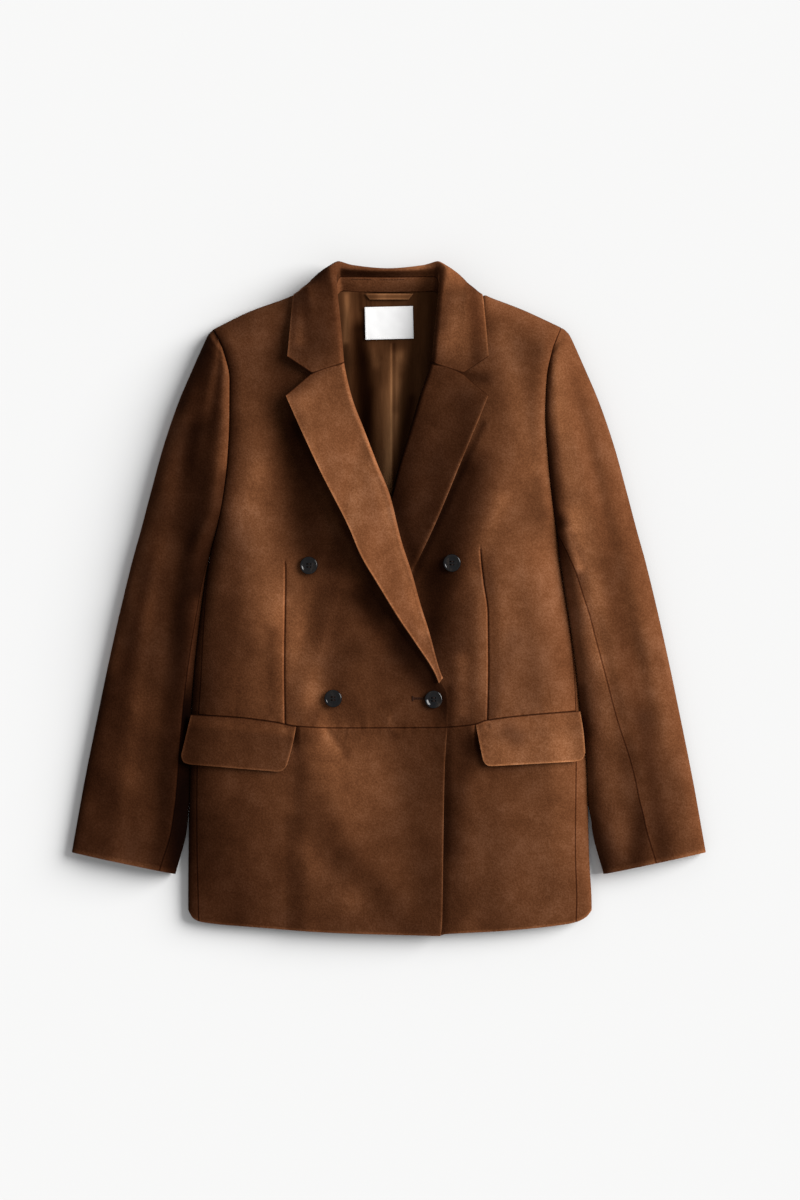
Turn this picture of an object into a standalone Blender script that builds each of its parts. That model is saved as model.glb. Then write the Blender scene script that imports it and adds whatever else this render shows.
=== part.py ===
"""A double-breasted blazer in faux suede, buttoned and laid flat on its back.

+Z is up from the table, +Y runs from the hem to the collar, and +X to the wearer's left.
The origin is on the table, under the middle of the coat. Right and left are the wearer's.
Every cloth piece is a wall: a grid that is bent to its place, then given its thickness.
Tables and functions are in millimetres, and wall() turns them into metres.
"""

import math
from collections import namedtuple

import bmesh
import bpy
from mathutils import Vector

MM = 0.001

# Cloth
SINGLE_PLY = 1.8        # suede with its fusing
DOUBLE_PLY = 2.4        # collar, lapels and flaps: two plies pressed together
LINING_PLY = 1.0
LABEL_PLY = 1.0
SEAM_GAP = 0.35         # between neighbours at a seam
STACK_GAP = 0.5         # between a piece and what it lies on

# How the coat lies
SIDE_ROLL = 46.0        # how far in from the side the front is still rounding over
SHOULDER_ROLL = 36.0    # the same, from the shoulder line
UNDER_ROLL = 10.0       # the tighter rounding below the side, onto the table
EDGE_HEIGHT = 9.0       # height of the side's outermost line
ARMPIT = 41.0           # where the armhole ends and the side seam begins
TIP = 304.0             # where the armhole meets the shoulder line
ARMHOLE_BLEND = 62.0    # length over which the armhole's edge lifts off the table
ARMHOLE_DIP = 5.0       # depth of the crease along the armhole seam
ARMHOLE_CREASE = 15.0   # width of that crease on each side
COLLAR_LIFT = DOUBLE_PLY + STACK_GAP + 2.0
COLLAR_BED = 124.0      # half the width of what the collar's fall lifts, out to where it is down again

# Buttons
BUTTON_ACROSS = 20.0
BUTTON_THICK = 4.2
BUTTON_RIM = 2.2
BUTTON_DISH = 1.1
HOLE_ACROSS = 2.2
HOLE_SPREAD = 3.4

RIGHT, LEFT = -1, 1     # the sign of x on each side


def through(pairs):
    """A smooth function through (at, value) pairs. It doesn't overshoot, and is level past both ends."""
    ats = [pair[0] for pair in pairs]
    values = [pair[1] for pair in pairs]
    rises = [(values[i + 1] - values[i]) / (ats[i + 1] - ats[i]) for i in range(len(ats) - 1)]
    slopes = [rises[0]]
    for before, after in zip(rises, rises[1:]):
        slopes.append(2 * before * after / (before + after) if before * after > 0 else 0.0)
    slopes.append(rises[-1])

    def value(at):
        at = min(max(at, ats[0]), ats[-1])
        i = 0
        while i < len(rises) - 1 and at > ats[i + 1]:
            i += 1
        step = ats[i + 1] - ats[i]
        t = (at - ats[i]) / step
        rise = values[i + 1] - values[i]
        bend = t * (1 - t) * ((1 - t) * (slopes[i] * step - rise) - t * (slopes[i + 1] * step - rise))
        return values[i] + rise * t + bend

    return value


def column(rows, key, name):
    """The column called name of a table of named rows, as a smooth function of the column called key."""
    return through([(getattr(row, key), getattr(row, name)) for row in rows])


def mix(a, b, t):
    return a + (b - a) * t


def ease(t):
    """0 to 1, soft at both ends."""
    t = min(max(t, 0.0), 1.0)
    return t * t * (3 - 2 * t)


def rounding(t):
    """The height of a quarter circle: 0 at 0, upright there, and 1 from 1 on."""
    t = min(max(t, 0.0), 1.0)
    return math.sqrt(t * (2 - t))


def evenly(count):
    return [i / count for i in range(count + 1)]


# The body: its two sides as it lies, and the height of its front, by how far up the coat
BodyRow = namedtuple("BodyRow", "up right left loft")
BODY = [
    BodyRow(*row)
    for row in (
        (-380, -226.0, 227.0, 17),
        (-345, -226.0, 227.0, 20),
        (-290, -225.7, 224.2, 25),
        (-190, -223.8, 221.5, 31),
        (-127, -222.3, 214.0, 34),
        (-86, -219.5, 210.0, 36),
        (-23, -212.7, 201.5, 39),
        (41, -203.3, 191.5, 41),
        (83, -192.0, 186.0, 42),
        (114, -186.0, 182.0, 43),
        (156, -181.0, 178.0, 42.5),
        (206, -178.6, 174.5, 41),
        (245, -178.6, 176.0, 38),
        (277, -185.5, 182.0, 35),
        (304, -198.0, 192.5, 31),
        (350, -219.3, 210.4, 30),
    )
]
SIDE_OF = {RIGHT: column(BODY, "up", "right"), LEFT: column(BODY, "up", "left")}
loft = column(BODY, "up", "loft")
# How much lower the front is by its sides than in its middle
crown = through([(-345, 3.0), (-190, 5.0), (-60, 8.0), (40, 11.0), (140, 11.0), (245, 3.0)])

# The shoulder line, from sleeve to sleeve, and the neck seam between its two ends
shoulder_line = through(
    [
        (-198, 302.5), (-181.5, 311), (-163.5, 319.8), (-150.5, 325.3), (-136.5, 330.3), (-121.5, 335.6),
        (-112, 336.5), (-104, 332.5), (-96, 332), (-86, 336), (-72, 342.5), (-60, 343.6), (58, 343.6),
        (70, 342.5), (84, 336), (94, 332), (101, 332.5), (108, 337), (114, 337.5), (129, 332.6),
        (150.5, 324.2), (174, 313.5), (193, 304.5),
    ]
)
hem_line = through(
    [
        (-227, -345), (-224.5, -352), (-219.5, -358.8), (-210, -362.5), (-154, -367.8), (-62, -374.2),
        (30, -377), (56, -377.6), (62, -376), (123, -372.5), (200, -364.5), (212, -361.5), (221, -356.5),
        (228, -348),
    ]
)
waist_line = through(
    [
        (-224, -129), (-169, -132.2), (-129, -137.2), (-103, -142), (-64, -143.9), (57, -143.4),
        (94, -140.3), (108, -135.5), (160, -129.2), (214, -125),
    ]
)

# The front edges, and above them the lines on which the lapels roll
RollRow = namedtuple("RollRow", "up right left")
ROLL = [
    RollRow(*row)
    for row in (
        (-380, 57.0, -66.0),
        (-363, 58.8, -66.0),
        (-281, 60.0, -66.5),
        (-194, 61.5, -67.0),
        (-120, 65.2, -68.0),
        (-105, 64.4, -66.0),
        (-74, 54.5, -56.0),
        (-37, 44.5, -46.0),
        (-5, 34.5, -36.0),
        (26, 26.0, -27.0),
        (66, 13.1, -13.0),
        (116, 0.5, 2.0),
        (151, -13.5, 11.0),
        (188, -27.8, 22.2),
        (226, -42.0, 33.5),
        (264, -50.5, 45.5),
        (300, -54.5, 50.0),
        (350, -58.0, 56.0),
    )
]
ROLL_OF = {RIGHT: column(ROLL, "up", "right"), LEFT: column(ROLL, "up", "left")}

# Soft folds and hollows in the front: a line on the coat, its width and its depth
Fold = namedtuple("Fold", "x0 y0 x1 y1 wide deep")
BODY_FOLDS = [
    Fold(*row)
    for row in (
        (-167, 200, -150, -40, 26, 3.0),
        (-116, 185, -70, -130, 24, -5.0),
        (-92, -150, -48, -300, 26, 3.0),
        (4, 165, 36, 15, 42, -6.0),
        (8, -165, 26, -340, 26, -3.0),
        (60, 0, 62, -110, 24, -3.0),
        (108, 120, 110, -110, 32, 3.0),
        (112, -170, 116, -330, 40, 2.0),
    )
]
# The waist darts: the cloth dips along each, from its point down to the waist seam
DartRow = namedtuple("DartRow", "up right left")
DARTS = [
    DartRow(*row)
    for row in (
        (-145, -116.8, 109.0),
        (-78, -117.6, 110.4),
        (-16, -116.8, 109.8),
        (20, -116.2, 105.0),
        (50, -116.4, 101.8),
        (70, -116.4, 101.0),
    )
]
DART_OF = {RIGHT: column(DARTS, "up", "right"), LEFT: column(DARTS, "up", "left")}
DART_TOP = {RIGHT: 47.0, LEFT: 62.0}
DART_DEEP = 1.6
DART_WIDE = 9.0


def fold_height(folds, x, y):
    """The sum of the folds at a point: each is a soft ridge or trough that fades out past its ends."""
    total = 0.0
    for fold in folds:
        run_x = fold.x1 - fold.x0
        run_y = fold.y1 - fold.y0
        length = math.hypot(run_x, run_y)
        t = ((x - fold.x0) * run_x + (y - fold.y0) * run_y) / length**2
        aside = ((x - fold.x0) * run_y - (y - fold.y0) * run_x) / length
        past = max(0.0, -t, t - 1) * length
        total += fold.deep * math.exp(-((aside / fold.wide) ** 2) - (past / fold.wide) ** 2)
    return total


def dart_height(x, y):
    side = RIGHT if x < 0 else LEFT
    fade = ease((DART_TOP[side] - y) / 60) * ease((y + 141) / 10)
    return -DART_DEEP * fade * math.exp(-(((x - DART_OF[side](y)) / DART_WIDE) ** 2))


def edge_height(y):
    """Height of the body's outermost line over the table."""
    return min(EDGE_HEIGHT, 0.42 * loft(y))


def collar_lift(x, y):
    """How much the shoulders and the back are raised by the fall of the collar, which lies under the back."""
    return COLLAR_LIFT * ease((COLLAR_BED - abs(x)) / 18) * ease((y - 255) / 28)


def armhole_open(y):
    """0 below the armpit, where the body's side is closed, to 1 where its front ends in the armhole."""
    return ease((y - ARMPIT) / ARMHOLE_BLEND)


def front_height(x, y):
    """Height of the front's outer face over the table: full in the middle, rounding over at its edges."""
    low = edge_height(y) + collar_lift(x, y)
    full = loft(y) - crown(y) * (x / 200) ** 2 + fold_height(BODY_FOLDS, x, y) + dart_height(x, y)
    inset = min(x - SIDE_OF[RIGHT](y), SIDE_OF[LEFT](y) - x)
    closed = rounding(inset / SIDE_ROLL)
    dip = min(0.9, ARMHOLE_DIP / (full - low))
    seamed = 1 - dip * (1 - rounding(inset / ARMHOLE_CREASE))
    side = mix(closed, seamed, armhole_open(y))
    top = rounding((shoulder_line(x) - y) / SHOULDER_ROLL)
    return low + (full - low) * side * top


# Lapels: each turns out at its roll line and lies back over the front
LapelRow = namedtuple("LapelRow", "up right left")
LAPEL_EDGE = [
    LapelRow(*row)
    for row in (
        (-96, 56.0, -56.0),
        (-84, 51.6, -50.0),
        (-48, 28.8, -28.0),
        (-25, 13.1, -12.0),
        (19, -14.0, 19.0),
        (48, -31.2, 34.0),
        (82, -46.0, 48.0),
        (144, -77.5, 76.0),
        (198, -102.7, 101.5),
        (227, -115.5, 109.5),
    )
]
LAPEL_EDGE_OF = {RIGHT: column(LAPEL_EDGE, "up", "right"), LEFT: column(LAPEL_EDGE, "up", "left")}
# Half the height of the roll, and how far the free edge lifts beyond that.
# The left one is pressed by the right.
LAPEL_RADIUS = {
    RIGHT: through([(-92, 2.7), (-40, 3.2), (60, 4.4), (200, 5.0), (264, 5.0)]),
    LEFT: through([(-40, 2.7), (90, 2.8), (130, 3.4), (200, 4.8), (264, 5.0)]),
}
LAPEL_LIFT = {
    RIGHT: through([(-96, 0.3), (-40, 4.0), (60, 10), (160, 11), (230, 6), (264, 4)]),
    LEFT: through([(-40, 0.0), (20, 0.2), (70, 2.0), (120, 7), (170, 9), (230, 5), (264, 4)]),
}
LAPEL_FOOT = {RIGHT: -88.0, LEFT: -30.0}     # the left one ends plainly, out of sight
GORGE_UP = 264.0        # the gorge seam's inner end, at the roll
PEAK_UP = 226.5
ROLL_SHARE = 0.3        # the part of its columns that a lapel spends on its roll
NOTCH_SHARE = 0.55      # how far across the lapel the notch is
NOTCH_RISE = 8.0        # how far it stands above a straight line from roll to peak


def turned_height(side, x, y, across, height):
    """The face of a turned-out lapel: over the front, and lifting towards its free edge."""
    return height(x, y) - SINGLE_PLY + 2 * LAPEL_RADIUS[side](y) + LAPEL_LIFT[side](y) * across**1.3


# The right front laps over the left one, and over the part of the left lapel below their crossing
LAP_STEP = SINGLE_PLY + 0.9
LAP_FROM = 52.0         # the right front starts to lift this far outside the left one's edge
LAP_RUN = 28.0          # and has lifted after this much more
LAPEL_SLACK = 1.2       # more room over the lapel than it needs


def right_front_height(x, y):
    """The right front's outer face: front_height, lifted by what lies under it."""
    roll = ROLL_OF[LEFT](y)
    edge = LAPEL_EDGE_OF[LEFT](y)
    across = min(max((x - roll) / (edge - roll), 0.0), 1.0)
    lapel = 2 * LAPEL_RADIUS[LEFT](y) - SINGLE_PLY + LAPEL_LIFT[LEFT](y) * across**1.3 + LAPEL_SLACK
    beside = (1 - ease((roll - 3 - x) / 52)) * (1 - ease((x - edge - 3) / 34))
    over_lapel = beside * ease((y - LAPEL_FOOT[LEFT] + 46) / 36)
    return front_height(x, y) + LAP_STEP * ease((x - roll + LAP_FROM) / LAP_RUN) + lapel * over_lapel


HEIGHT_OF = {RIGHT: right_front_height, LEFT: front_height}


# Making the objects


def material(name, colour, roughness):
    made = bpy.data.materials.new(name)
    made.use_nodes = True
    shader = made.node_tree.nodes["Principled BSDF"]
    shader.inputs["Base Color"].default_value = (*colour, 1.0)
    shader.inputs["Roughness"].default_value = roughness
    return made


def place(obj, kind):
    """Puts a finished object in the coat's collection, with its material."""
    obj.data.materials.append(kind)
    coat.objects.link(obj)
    return obj


def wall(name, across, along, point, thick, kind, flip=False):
    """A cloth piece. point(u, v) is its outer face, for each u in across and each v in along.

    It faces up where x grows with u and y with v. flip is for a piece where just one of them shrinks.
    """
    mesh = bpy.data.meshes.new(name)
    bm = bmesh.new()
    columns = len(across) - 1
    rows = len(along) - 1
    bmesh.ops.create_grid(bm, x_segments=columns, y_segments=rows, size=0.5)
    for vert in bm.verts:
        u = across[round((vert.co.x + 0.5) * columns)]
        v = along[round((vert.co.y + 0.5) * rows)]
        vert.co = Vector(point(u, v)) * MM
    if flip:
        bmesh.ops.reverse_faces(bm, faces=bm.faces)
    bm.to_mesh(mesh)
    bm.free()
    mesh.shade_smooth()
    obj = bpy.data.objects.new(name, mesh)
    solidify = obj.modifiers.new("Cloth", "SOLIDIFY")
    solidify.thickness = thick * MM
    solidify.offset = -1.0
    solidify.use_even_offset = True
    return place(obj, kind)


def between(x_from, x_to, y_from, y_to):
    """plan(u, v): a point between four borders. The x borders are functions of y, and the y borders of x."""

    def plan(u, v):
        x = 0.0
        y = mix(y_from(0.0), y_to(0.0), v)
        for _ in range(6):
            x = mix(x_from(y), x_to(y), u)
            y = mix(y_from(x), y_to(x), v)
        return x, y

    return plan


# Fronts: each is cut in an upper front and a skirt, joined at the waist.
# u runs from the side to the front edge.
SIDE_SEAM_INSET = {
    RIGHT: through(
        [
            (-380, 12), (-345, 11.5), (-270, 9.5), (-194, 8.2), (-105, 8.6),
            (-27, 5), (10, 2.6), (41, 0.8), (50, 0),
        ]
    ),
    LEFT: through(
        [
            (-380, 18), (-345, 17), (-194, 12.5), (-123, 4.6),
            (-64, 1.8), (-18, 0.6), (41, 0.6), (50, 0),
        ]
    ),
}
NECK_CLEAR = through([(-104, 0.6), (-88, 0.9), (100, 1.5), (250, 1.5), (262, 3.5), (275, 5.5), (345, 6.8)])
FRONT_ACROSS = (
    0, 0.015, 0.045, 0.095, 0.165, 0.24, 0.32, 0.4, 0.48, 0.56, 0.64, 0.72, 0.8, 0.88, 0.95, 1,
)
UPPER_ALONG = (
    0, 0.04, 0.08, 0.11, 0.15, 0.21, 0.28, 0.35, 0.42, 0.49, 0.56, 0.63, 0.7, 0.77, 0.83, 0.89,
    0.93, 0.965, 0.987, 0.9975, 1,
)
SKIRT_ALONG = evenly(6)


def side_seam(side, y):
    """Where the front meets the side panel or, above the armpit, the sleeve."""
    return SIDE_OF[side](min(y, TIP)) - side * (SIDE_SEAM_INSET[side](y) + SEAM_GAP)


def front_edge(side, y):
    """The front's free edge. Above the last button it stays inside the roll."""
    if y <= -104:
        return ROLL_OF[side](y)
    return ROLL_OF[side](y) + side * (1.08 * LAPEL_RADIUS[side](y) * ease((y + 104) / 14) + NECK_CLEAR(y))


def front_of(side, y_from, y_to):
    plan = between(lambda y: side_seam(side, y), lambda y: front_edge(side, y), y_from, y_to)

    def point(u, v):
        x, y = plan(u, v)
        return x, y, HEIGHT_OF[side](x, y)

    return point


def above_waist(x):
    return waist_line(x) + SEAM_GAP / 2


def below_waist(x):
    return waist_line(x) - SEAM_GAP / 2


# Side panels: from the back's seam (u 0) under the coat, round its side, to the front's seam (u 1)
BACK_SEAM_INSET = through([(-380, 46), (-200, 44), (-80, 32), (ARMPIT, 13)])
SIDE_ACROSS = (0, 0.15, 0.3, 0.4, 0.5, 0.6, 0.7, 0.8, 0.9, 1)
SIDE_UNDER = 0.3        # up to this u the panel is flat on the table
SIDE_TURNED = 0.6       # and up to this one it is turning up to its outermost line
SIDE_GAP = 0.3          # added to the seam gap, as the seam bends


def side_panel_of(side):
    def point(u, v):
        y = mix(-352, ARMPIT - SEAM_GAP, v)
        for _ in range(4):
            low = edge_height(y)
            z = 0.0
            if u < SIDE_UNDER:
                inset = mix(BACK_SEAM_INSET(y), UNDER_ROLL, u / SIDE_UNDER)
            elif u < SIDE_TURNED:
                turn = math.pi / 2 * (u - SIDE_UNDER) / (SIDE_TURNED - SIDE_UNDER)
                inset = UNDER_ROLL * (1 - math.sin(turn))
                z = low * (1 - math.cos(turn))
            else:
                inset = (SIDE_SEAM_INSET[side](y) - SIDE_GAP) * ((u - SIDE_TURNED) / (1 - SIDE_TURNED)) ** 2
            x = SIDE_OF[side](y) - side * inset
            y = mix(hem_line(x) + (3.0 if u < SIDE_TURNED else 0.0), ARMPIT - SEAM_GAP, v)
        return x, y, z if u < SIDE_TURNED else front_height(x, y)

    return point


# Back: one piece on the table, turned up to meet the front at the shoulder line
UNDER_GAP = 0.8         # round the back, where no seam shows
BACK_ACROSS = (
    0, 0.04, 0.1, 0.17, 0.235, 0.29, 0.345, 0.42, 0.5, 0.58, 0.655, 0.71, 0.765, 0.83, 0.9, 0.96, 1,
)
BACK_ALONG = (
    0, 0.12, 0.24, 0.36, 0.48, 0.603, 0.642, 0.71, 0.78, 0.85, 0.9, 0.945, 0.972, 0.988, 0.996,
    0.9988, 1,
)


def back_edge(side, y):
    inset = BACK_SEAM_INSET(y) * (1 - ease((y - ARMPIT) / 25))
    return SIDE_OF[side](min(y, TIP)) - side * (inset + UNDER_GAP)


back_plan = between(
    lambda y: back_edge(RIGHT, y),
    lambda y: back_edge(LEFT, y),
    lambda x: hem_line(x) + 4.0,
    lambda x: shoulder_line(x) - SEAM_GAP,
)


def back(u, v):
    """The back's outer face, down on the table."""
    x, y = back_plan(u, v)
    turned = 1 - rounding((shoulder_line(x) - SEAM_GAP - y) / UNDER_ROLL)
    beside_neck = ease((abs(x + 1) - 60) / 9)
    return x, y, collar_lift(x, y) + (edge_height(y) - 2 * UNDER_GAP) * turned * beside_neck


# Lining of the back, where the neck shows it: soft folds, and a pleat down the middle
LINING_FOLDS = [
    Fold(*row)
    for row in (
        (-46, 335, -38, 120, 7, 2.6),
        (-28, 280, -22, 110, 6, -1.0),
        (-8, 270, -6, 90, 8, 1.5),
        (14, 275, 10, 100, 6, 1.8),
        (42, 330, 26, 120, 7, 2.0),
    )
]
LINING_TOP = 343.6
LINING_FOOT = 60.0
LINING_HALF = 58.0
LINING_ACROSS = evenly(20)
LINING_ALONG = (0, 0.3, 0.55, 0.69, 0.73, 0.76, 0.79, 0.88, 0.95, 1)
PLEAT_AT = 1.8
PLEAT_STEP = 1.0


def lining_height(x, y):
    bed = collar_lift(x, y) + SINGLE_PLY + STACK_GAP + 1.2
    fade = ease((LINING_TOP - 2 - y) / 26)
    pleat = PLEAT_STEP * (1 - ease((x - PLEAT_AT + 3) / 6)) * ease((290 - y) / 26)
    return bed + LINING_PLY + fade * fold_height(LINING_FOLDS, x, y) + pleat


def lining(u, v):
    x = mix(-LINING_HALF, LINING_HALF, u) - 1.0
    y = mix(LINING_FOOT, LINING_TOP - SEAM_GAP, v)
    return x, y, lining_height(x, y)


LABEL_ACROSS = 54.0
LABEL_HIGH = 36.5
LABEL_X = -0.4
LABEL_Y = 309.8
LABEL_TURN = math.radians(1.4)


def label(u, v):
    across = (u - 0.5) * LABEL_ACROSS
    up = (v - 0.5) * LABEL_HIGH
    x = LABEL_X + across * math.cos(LABEL_TURN) - up * math.sin(LABEL_TURN)
    y = LABEL_Y + across * math.sin(LABEL_TURN) + up * math.cos(LABEL_TURN)
    return x, y, lining_height(x, y) + LABEL_PLY + STACK_GAP + 0.5


LOOP_ACROSS = 54.0
LOOP_WIDE = 6.5
LOOP_RISE = 2.2


def hanger_loop(u, v):
    """The loop the coat hangs by: its ends lie on the lining, and its middle stands a little proud."""
    middle = 1 - abs(2 * u - 1) ** 3
    half = LOOP_ACROSS / 2 - 5.0 * (1 - v)
    x = LABEL_X + (2 * u - 1) * half
    y = LINING_TOP - SEAM_GAP - 1.0 - (1 - v) * LOOP_WIDE
    return x, y, lining_height(x, y) + LINING_PLY + STACK_GAP + 0.4 + LOOP_RISE * middle


# A lapel's u runs from under the front's edge, round the roll (up to ROLL_SHARE), to its own free edge
LAPEL_ACROSS = [ROLL_SHARE * t for t in evenly(6)]
LAPEL_ACROSS += [mix(ROLL_SHARE, 1, t) for t in (0.14, 0.28, 0.42, NOTCH_SHARE, 0.7, 0.85, 1)]
LAPEL_ALONG = (0, 0.05, 0.12, 0.2, 0.29, 0.38, 0.47, 0.56, 0.65, 0.74, 0.83, 0.91, 0.96, 1)


def lapel_of(side):
    height = HEIGHT_OF[side]

    def point(u, v):
        roll_up = mix(LAPEL_FOOT[side], GORGE_UP - SEAM_GAP, v)
        edge_up = mix(LAPEL_FOOT[side] - 6, PEAK_UP, v)
        roll = Vector((ROLL_OF[side](roll_up), roll_up))
        edge = Vector((LAPEL_EDGE_OF[side](edge_up), edge_up))
        radius = LAPEL_RADIUS[side](roll_up)
        out = (edge - roll).normalized()
        start = roll + out * radius
        if u < ROLL_SHARE:
            turn = math.pi * (u / ROLL_SHARE - 0.5)
            at = start - out * radius * math.cos(turn)
            z = height(at.x, at.y) - SINGLE_PLY + radius * (1 + math.sin(turn))
            return at.x, at.y, z
        across = (u - ROLL_SHARE) / (1 - ROLL_SHARE)
        at = start.lerp(edge, across)
        tent = min(across / NOTCH_SHARE, (1 - across) / (1 - NOTCH_SHARE))
        at.y += NOTCH_RISE * tent * v**8
        return at.x, at.y, turned_height(side, at.x, at.y, across, height)

    return point


# Collar: sections from the middle of the back (w 0) to its front ends (w 1), measured from its centre line.
# Each is drawn through five points: its seam on the stand, the inside and the top of its roll, its fall and edge.
COLLAR_CENTRE = -1.6
PARTS = ("seam", "roll", "crest", "fall", "edge")
SectionRow = namedtuple("SectionRow", ["w"] + [part + axis for part in PARTS for axis in "xyz"])
COLLAR = [
    SectionRow(*row)
    for row in (
        #      seam              roll              crest             fall              edge
        (-0.18, -38, 361.4, 16.5, -38, 368.8, 23.5, -40, 374.4, 18.5, -44, 367.0, 3.2, -52, 318.0, 0.2),
        (0.00, 0, 360.8, 16.5, 0, 367.2, 22.5, 0, 370.8, 17.0, 0, 364.5, 3.0, 0, 318.0, 0.2),
        (0.18, 38, 361.4, 16.5, 38, 368.8, 23.5, 40, 374.4, 18.5, 44, 367.0, 3.2, 52, 318.0, 0.2),
        (0.29, 52.5, 361.2, 18.0, 53.5, 371.2, 27.0, 55.5, 378.2, 24.0, 71, 361.5, 5.0, 80, 320.0, 0.2),
        (0.35, 55, 359.0, 19.0, 56, 368.5, 29.5, 61, 374.8, 30.0, 80.5, 358.5, 10.5, 90, 321.0, 0.2),
        (0.41, 57.0, 353.5, 20.8, 57, 361.5, 31.0, 65, 369.5, 35.0, 89, 353.8, 18.5, 98.0, 326.0, 0.4),
        (0.47, 57.8, 347.0, 23.5, 57, 354.0, 33.5, 65, 361.0, 38.5, 91, 351.8, 29.0, 104.0, 342.5, 7.5),
        (0.53, 58, 340.0, 26.0, 56.5, 345.0, 35.0, 63, 349.5, 40.0, 88, 348.5, 37.5, 105.5, 341.5, 22.0),
        (0.68, 57, 320.0, 30.5, 54, 321.0, 37.0, 60, 323.0, 42.0, 84, 322.0, 43.5, 108.5, 315.0, 36.0),
        (0.84, 55, 292.0, 32.5, 51.2, 292.0, 37.5, 56, 292.5, 43.0, 84, 292.0, 45.5, 110.5, 291.0, 42.0),
        (1.00, 52.8, 264.2, 33.0, 48.9, 264.2, 38.0, 53.5, 264.2, 43.6, 84.4, 267.0, 45.5, 112.2, 270.5, 44.0),
    )
]
COLLAR_AT = {name: column(COLLAR, "w", name) for name in SectionRow._fields[1:]}
COLLAR_STOPS = (0.0, 0.16, 0.32, 0.62, 1.0)
COLLAR_W = (0.09, 0.18, 0.25, 0.29, 0.32, 0.36, 0.4, 0.44, 0.48, 0.53, 0.6, 0.68, 0.77, 0.86, 0.93, 1)
COLLAR_ACROSS = [0.5 - w / 2 for w in reversed(COLLAR_W)] + [0.5] + [0.5 + w / 2 for w in COLLAR_W]
COLLAR_ALONG = (0, 0.08, 0.16, 0.24, 0.32, 0.42, 0.52, 0.62, 0.72, 0.82, 0.91, 1)
COLLAR_NOTCH_DROP = 15.0


def collar(u, v):
    """u runs from the wearer's right end to the left one, v from the seam on the stand to the fall's edge."""
    w = abs(2 * u - 1)
    side = RIGHT if u < 0.5 else LEFT
    x, y, z = (
        through([(stop, COLLAR_AT[part + axis](w)) for stop, part in zip(COLLAR_STOPS, PARTS)])(v)
        for axis in "xyz"
    )
    roll, notch, edge = (COLLAR_AT[part + "x"](w) for part in ("roll", "fall", "edge"))
    if v > COLLAR_STOPS[1] and w > 0.86:
        tent = min((x - roll) / (notch - roll), (edge - x) / (edge - notch))
        y -= COLLAR_NOTCH_DROP * tent * ((w - 0.86) / 0.14) ** 1.5
    return COLLAR_CENTRE + side * x, y, z


# The stand: the band between the neck seam (v 0) and the collar (v 1)
StandRow = namedtuple("StandRow", "w x y z")
STAND_FOOT = [
    StandRow(*row)
    for row in (
        (-0.18, -36, 344.6, 9.5),
        (0.00, 0, 344.0, 9.5),
        (0.18, 36, 344.6, 9.5),
        (0.30, 50, 345.5, 10.0),
        (0.42, 57, 340.0, 13.0),
        (0.52, 60, 328.0, 17.0),
        (0.68, 61.5, 308.0, 22.0),
        (0.84, 61, 286.0, 25.0),
        (1.00, 58, 265.0, 26.0),
    )
]
STAND_AT = {axis: column(STAND_FOOT, "w", axis) for axis in "xyz"}


def collar_stand(u, v):
    w = abs(2 * u - 1)
    side = RIGHT if u < 0.5 else LEFT
    foot = Vector([STAND_AT[axis](w) for axis in "xyz"])
    seam = Vector([COLLAR_AT["seam" + axis](w) for axis in "xyz"])
    at = foot.lerp(seam, v * (1 - SEAM_GAP / (seam - foot).length))
    return COLLAR_CENTRE + side * at.x, at.y, at.z


# Pocket flaps: sewn in at the waist seam, hanging over the skirt. u runs from the side to the front.
FlapRow = namedtuple("FlapRow", "part side_x side_y front_x front_y")
FLAPS = {
    RIGHT: [
        FlapRow(*row)
        for row in (
            (0.0, -232.0, -184, -117.0, -193.5),
            (0.5, -229.5, -155, -109.5, -166),
            (1.0, -222, -130.5, -104.5, -142.5),
        )
    ],
    LEFT: [
        FlapRow(*row)
        for row in (
            (0.0, 219.5, -181, 106.0, -187),
            (0.5, 217.5, -153, 101.0, -163),
            (1.0, 213.5, -126.5, 96.5, -140.5),
        )
    ],
}
FLAP_AT = {
    side: {name: column(rows, "part", name) for name in FlapRow._fields[1:]}
    for side, rows in FLAPS.items()
}
FLAP_INSET = 18.0       # this far in from the body's side, the flap stops rounding with it and goes on level
FLAP_LIFT = 2.0         # how far its free edge stands off
FLAP_ACROSS = (0, 0.04, 0.12, 0.24, 0.38, 0.52, 0.66, 0.8, 0.93, 1)
FLAP_ALONG = (0, 0.12, 0.4, 0.7, 1)
flap_corner = through([(0, 0.16), (0.04, 0.03), (0.12, 0), (0.93, 0), (1, 0.12)])


def flap_of(side):
    at = FLAP_AT[side]
    height = HEIGHT_OF[side]

    def point(u, v):
        v = max(v, flap_corner(u)) if v < 0.12 else v
        x = mix(at["side_x"](v), at["front_x"](v), u)
        y = mix(at["side_y"](v), at["front_y"](v), u)
        if v == 1:
            y = below_waist(x) - 0.4
        inset = max(side * (SIDE_OF[side](y) - x), FLAP_INSET)
        rest = height(SIDE_OF[side](y) - side * inset, y)
        return x, y, rest + DOUBLE_PLY + STACK_GAP + 0.4 + FLAP_LIFT * (1 - v) ** 1.5

    return point


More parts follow.
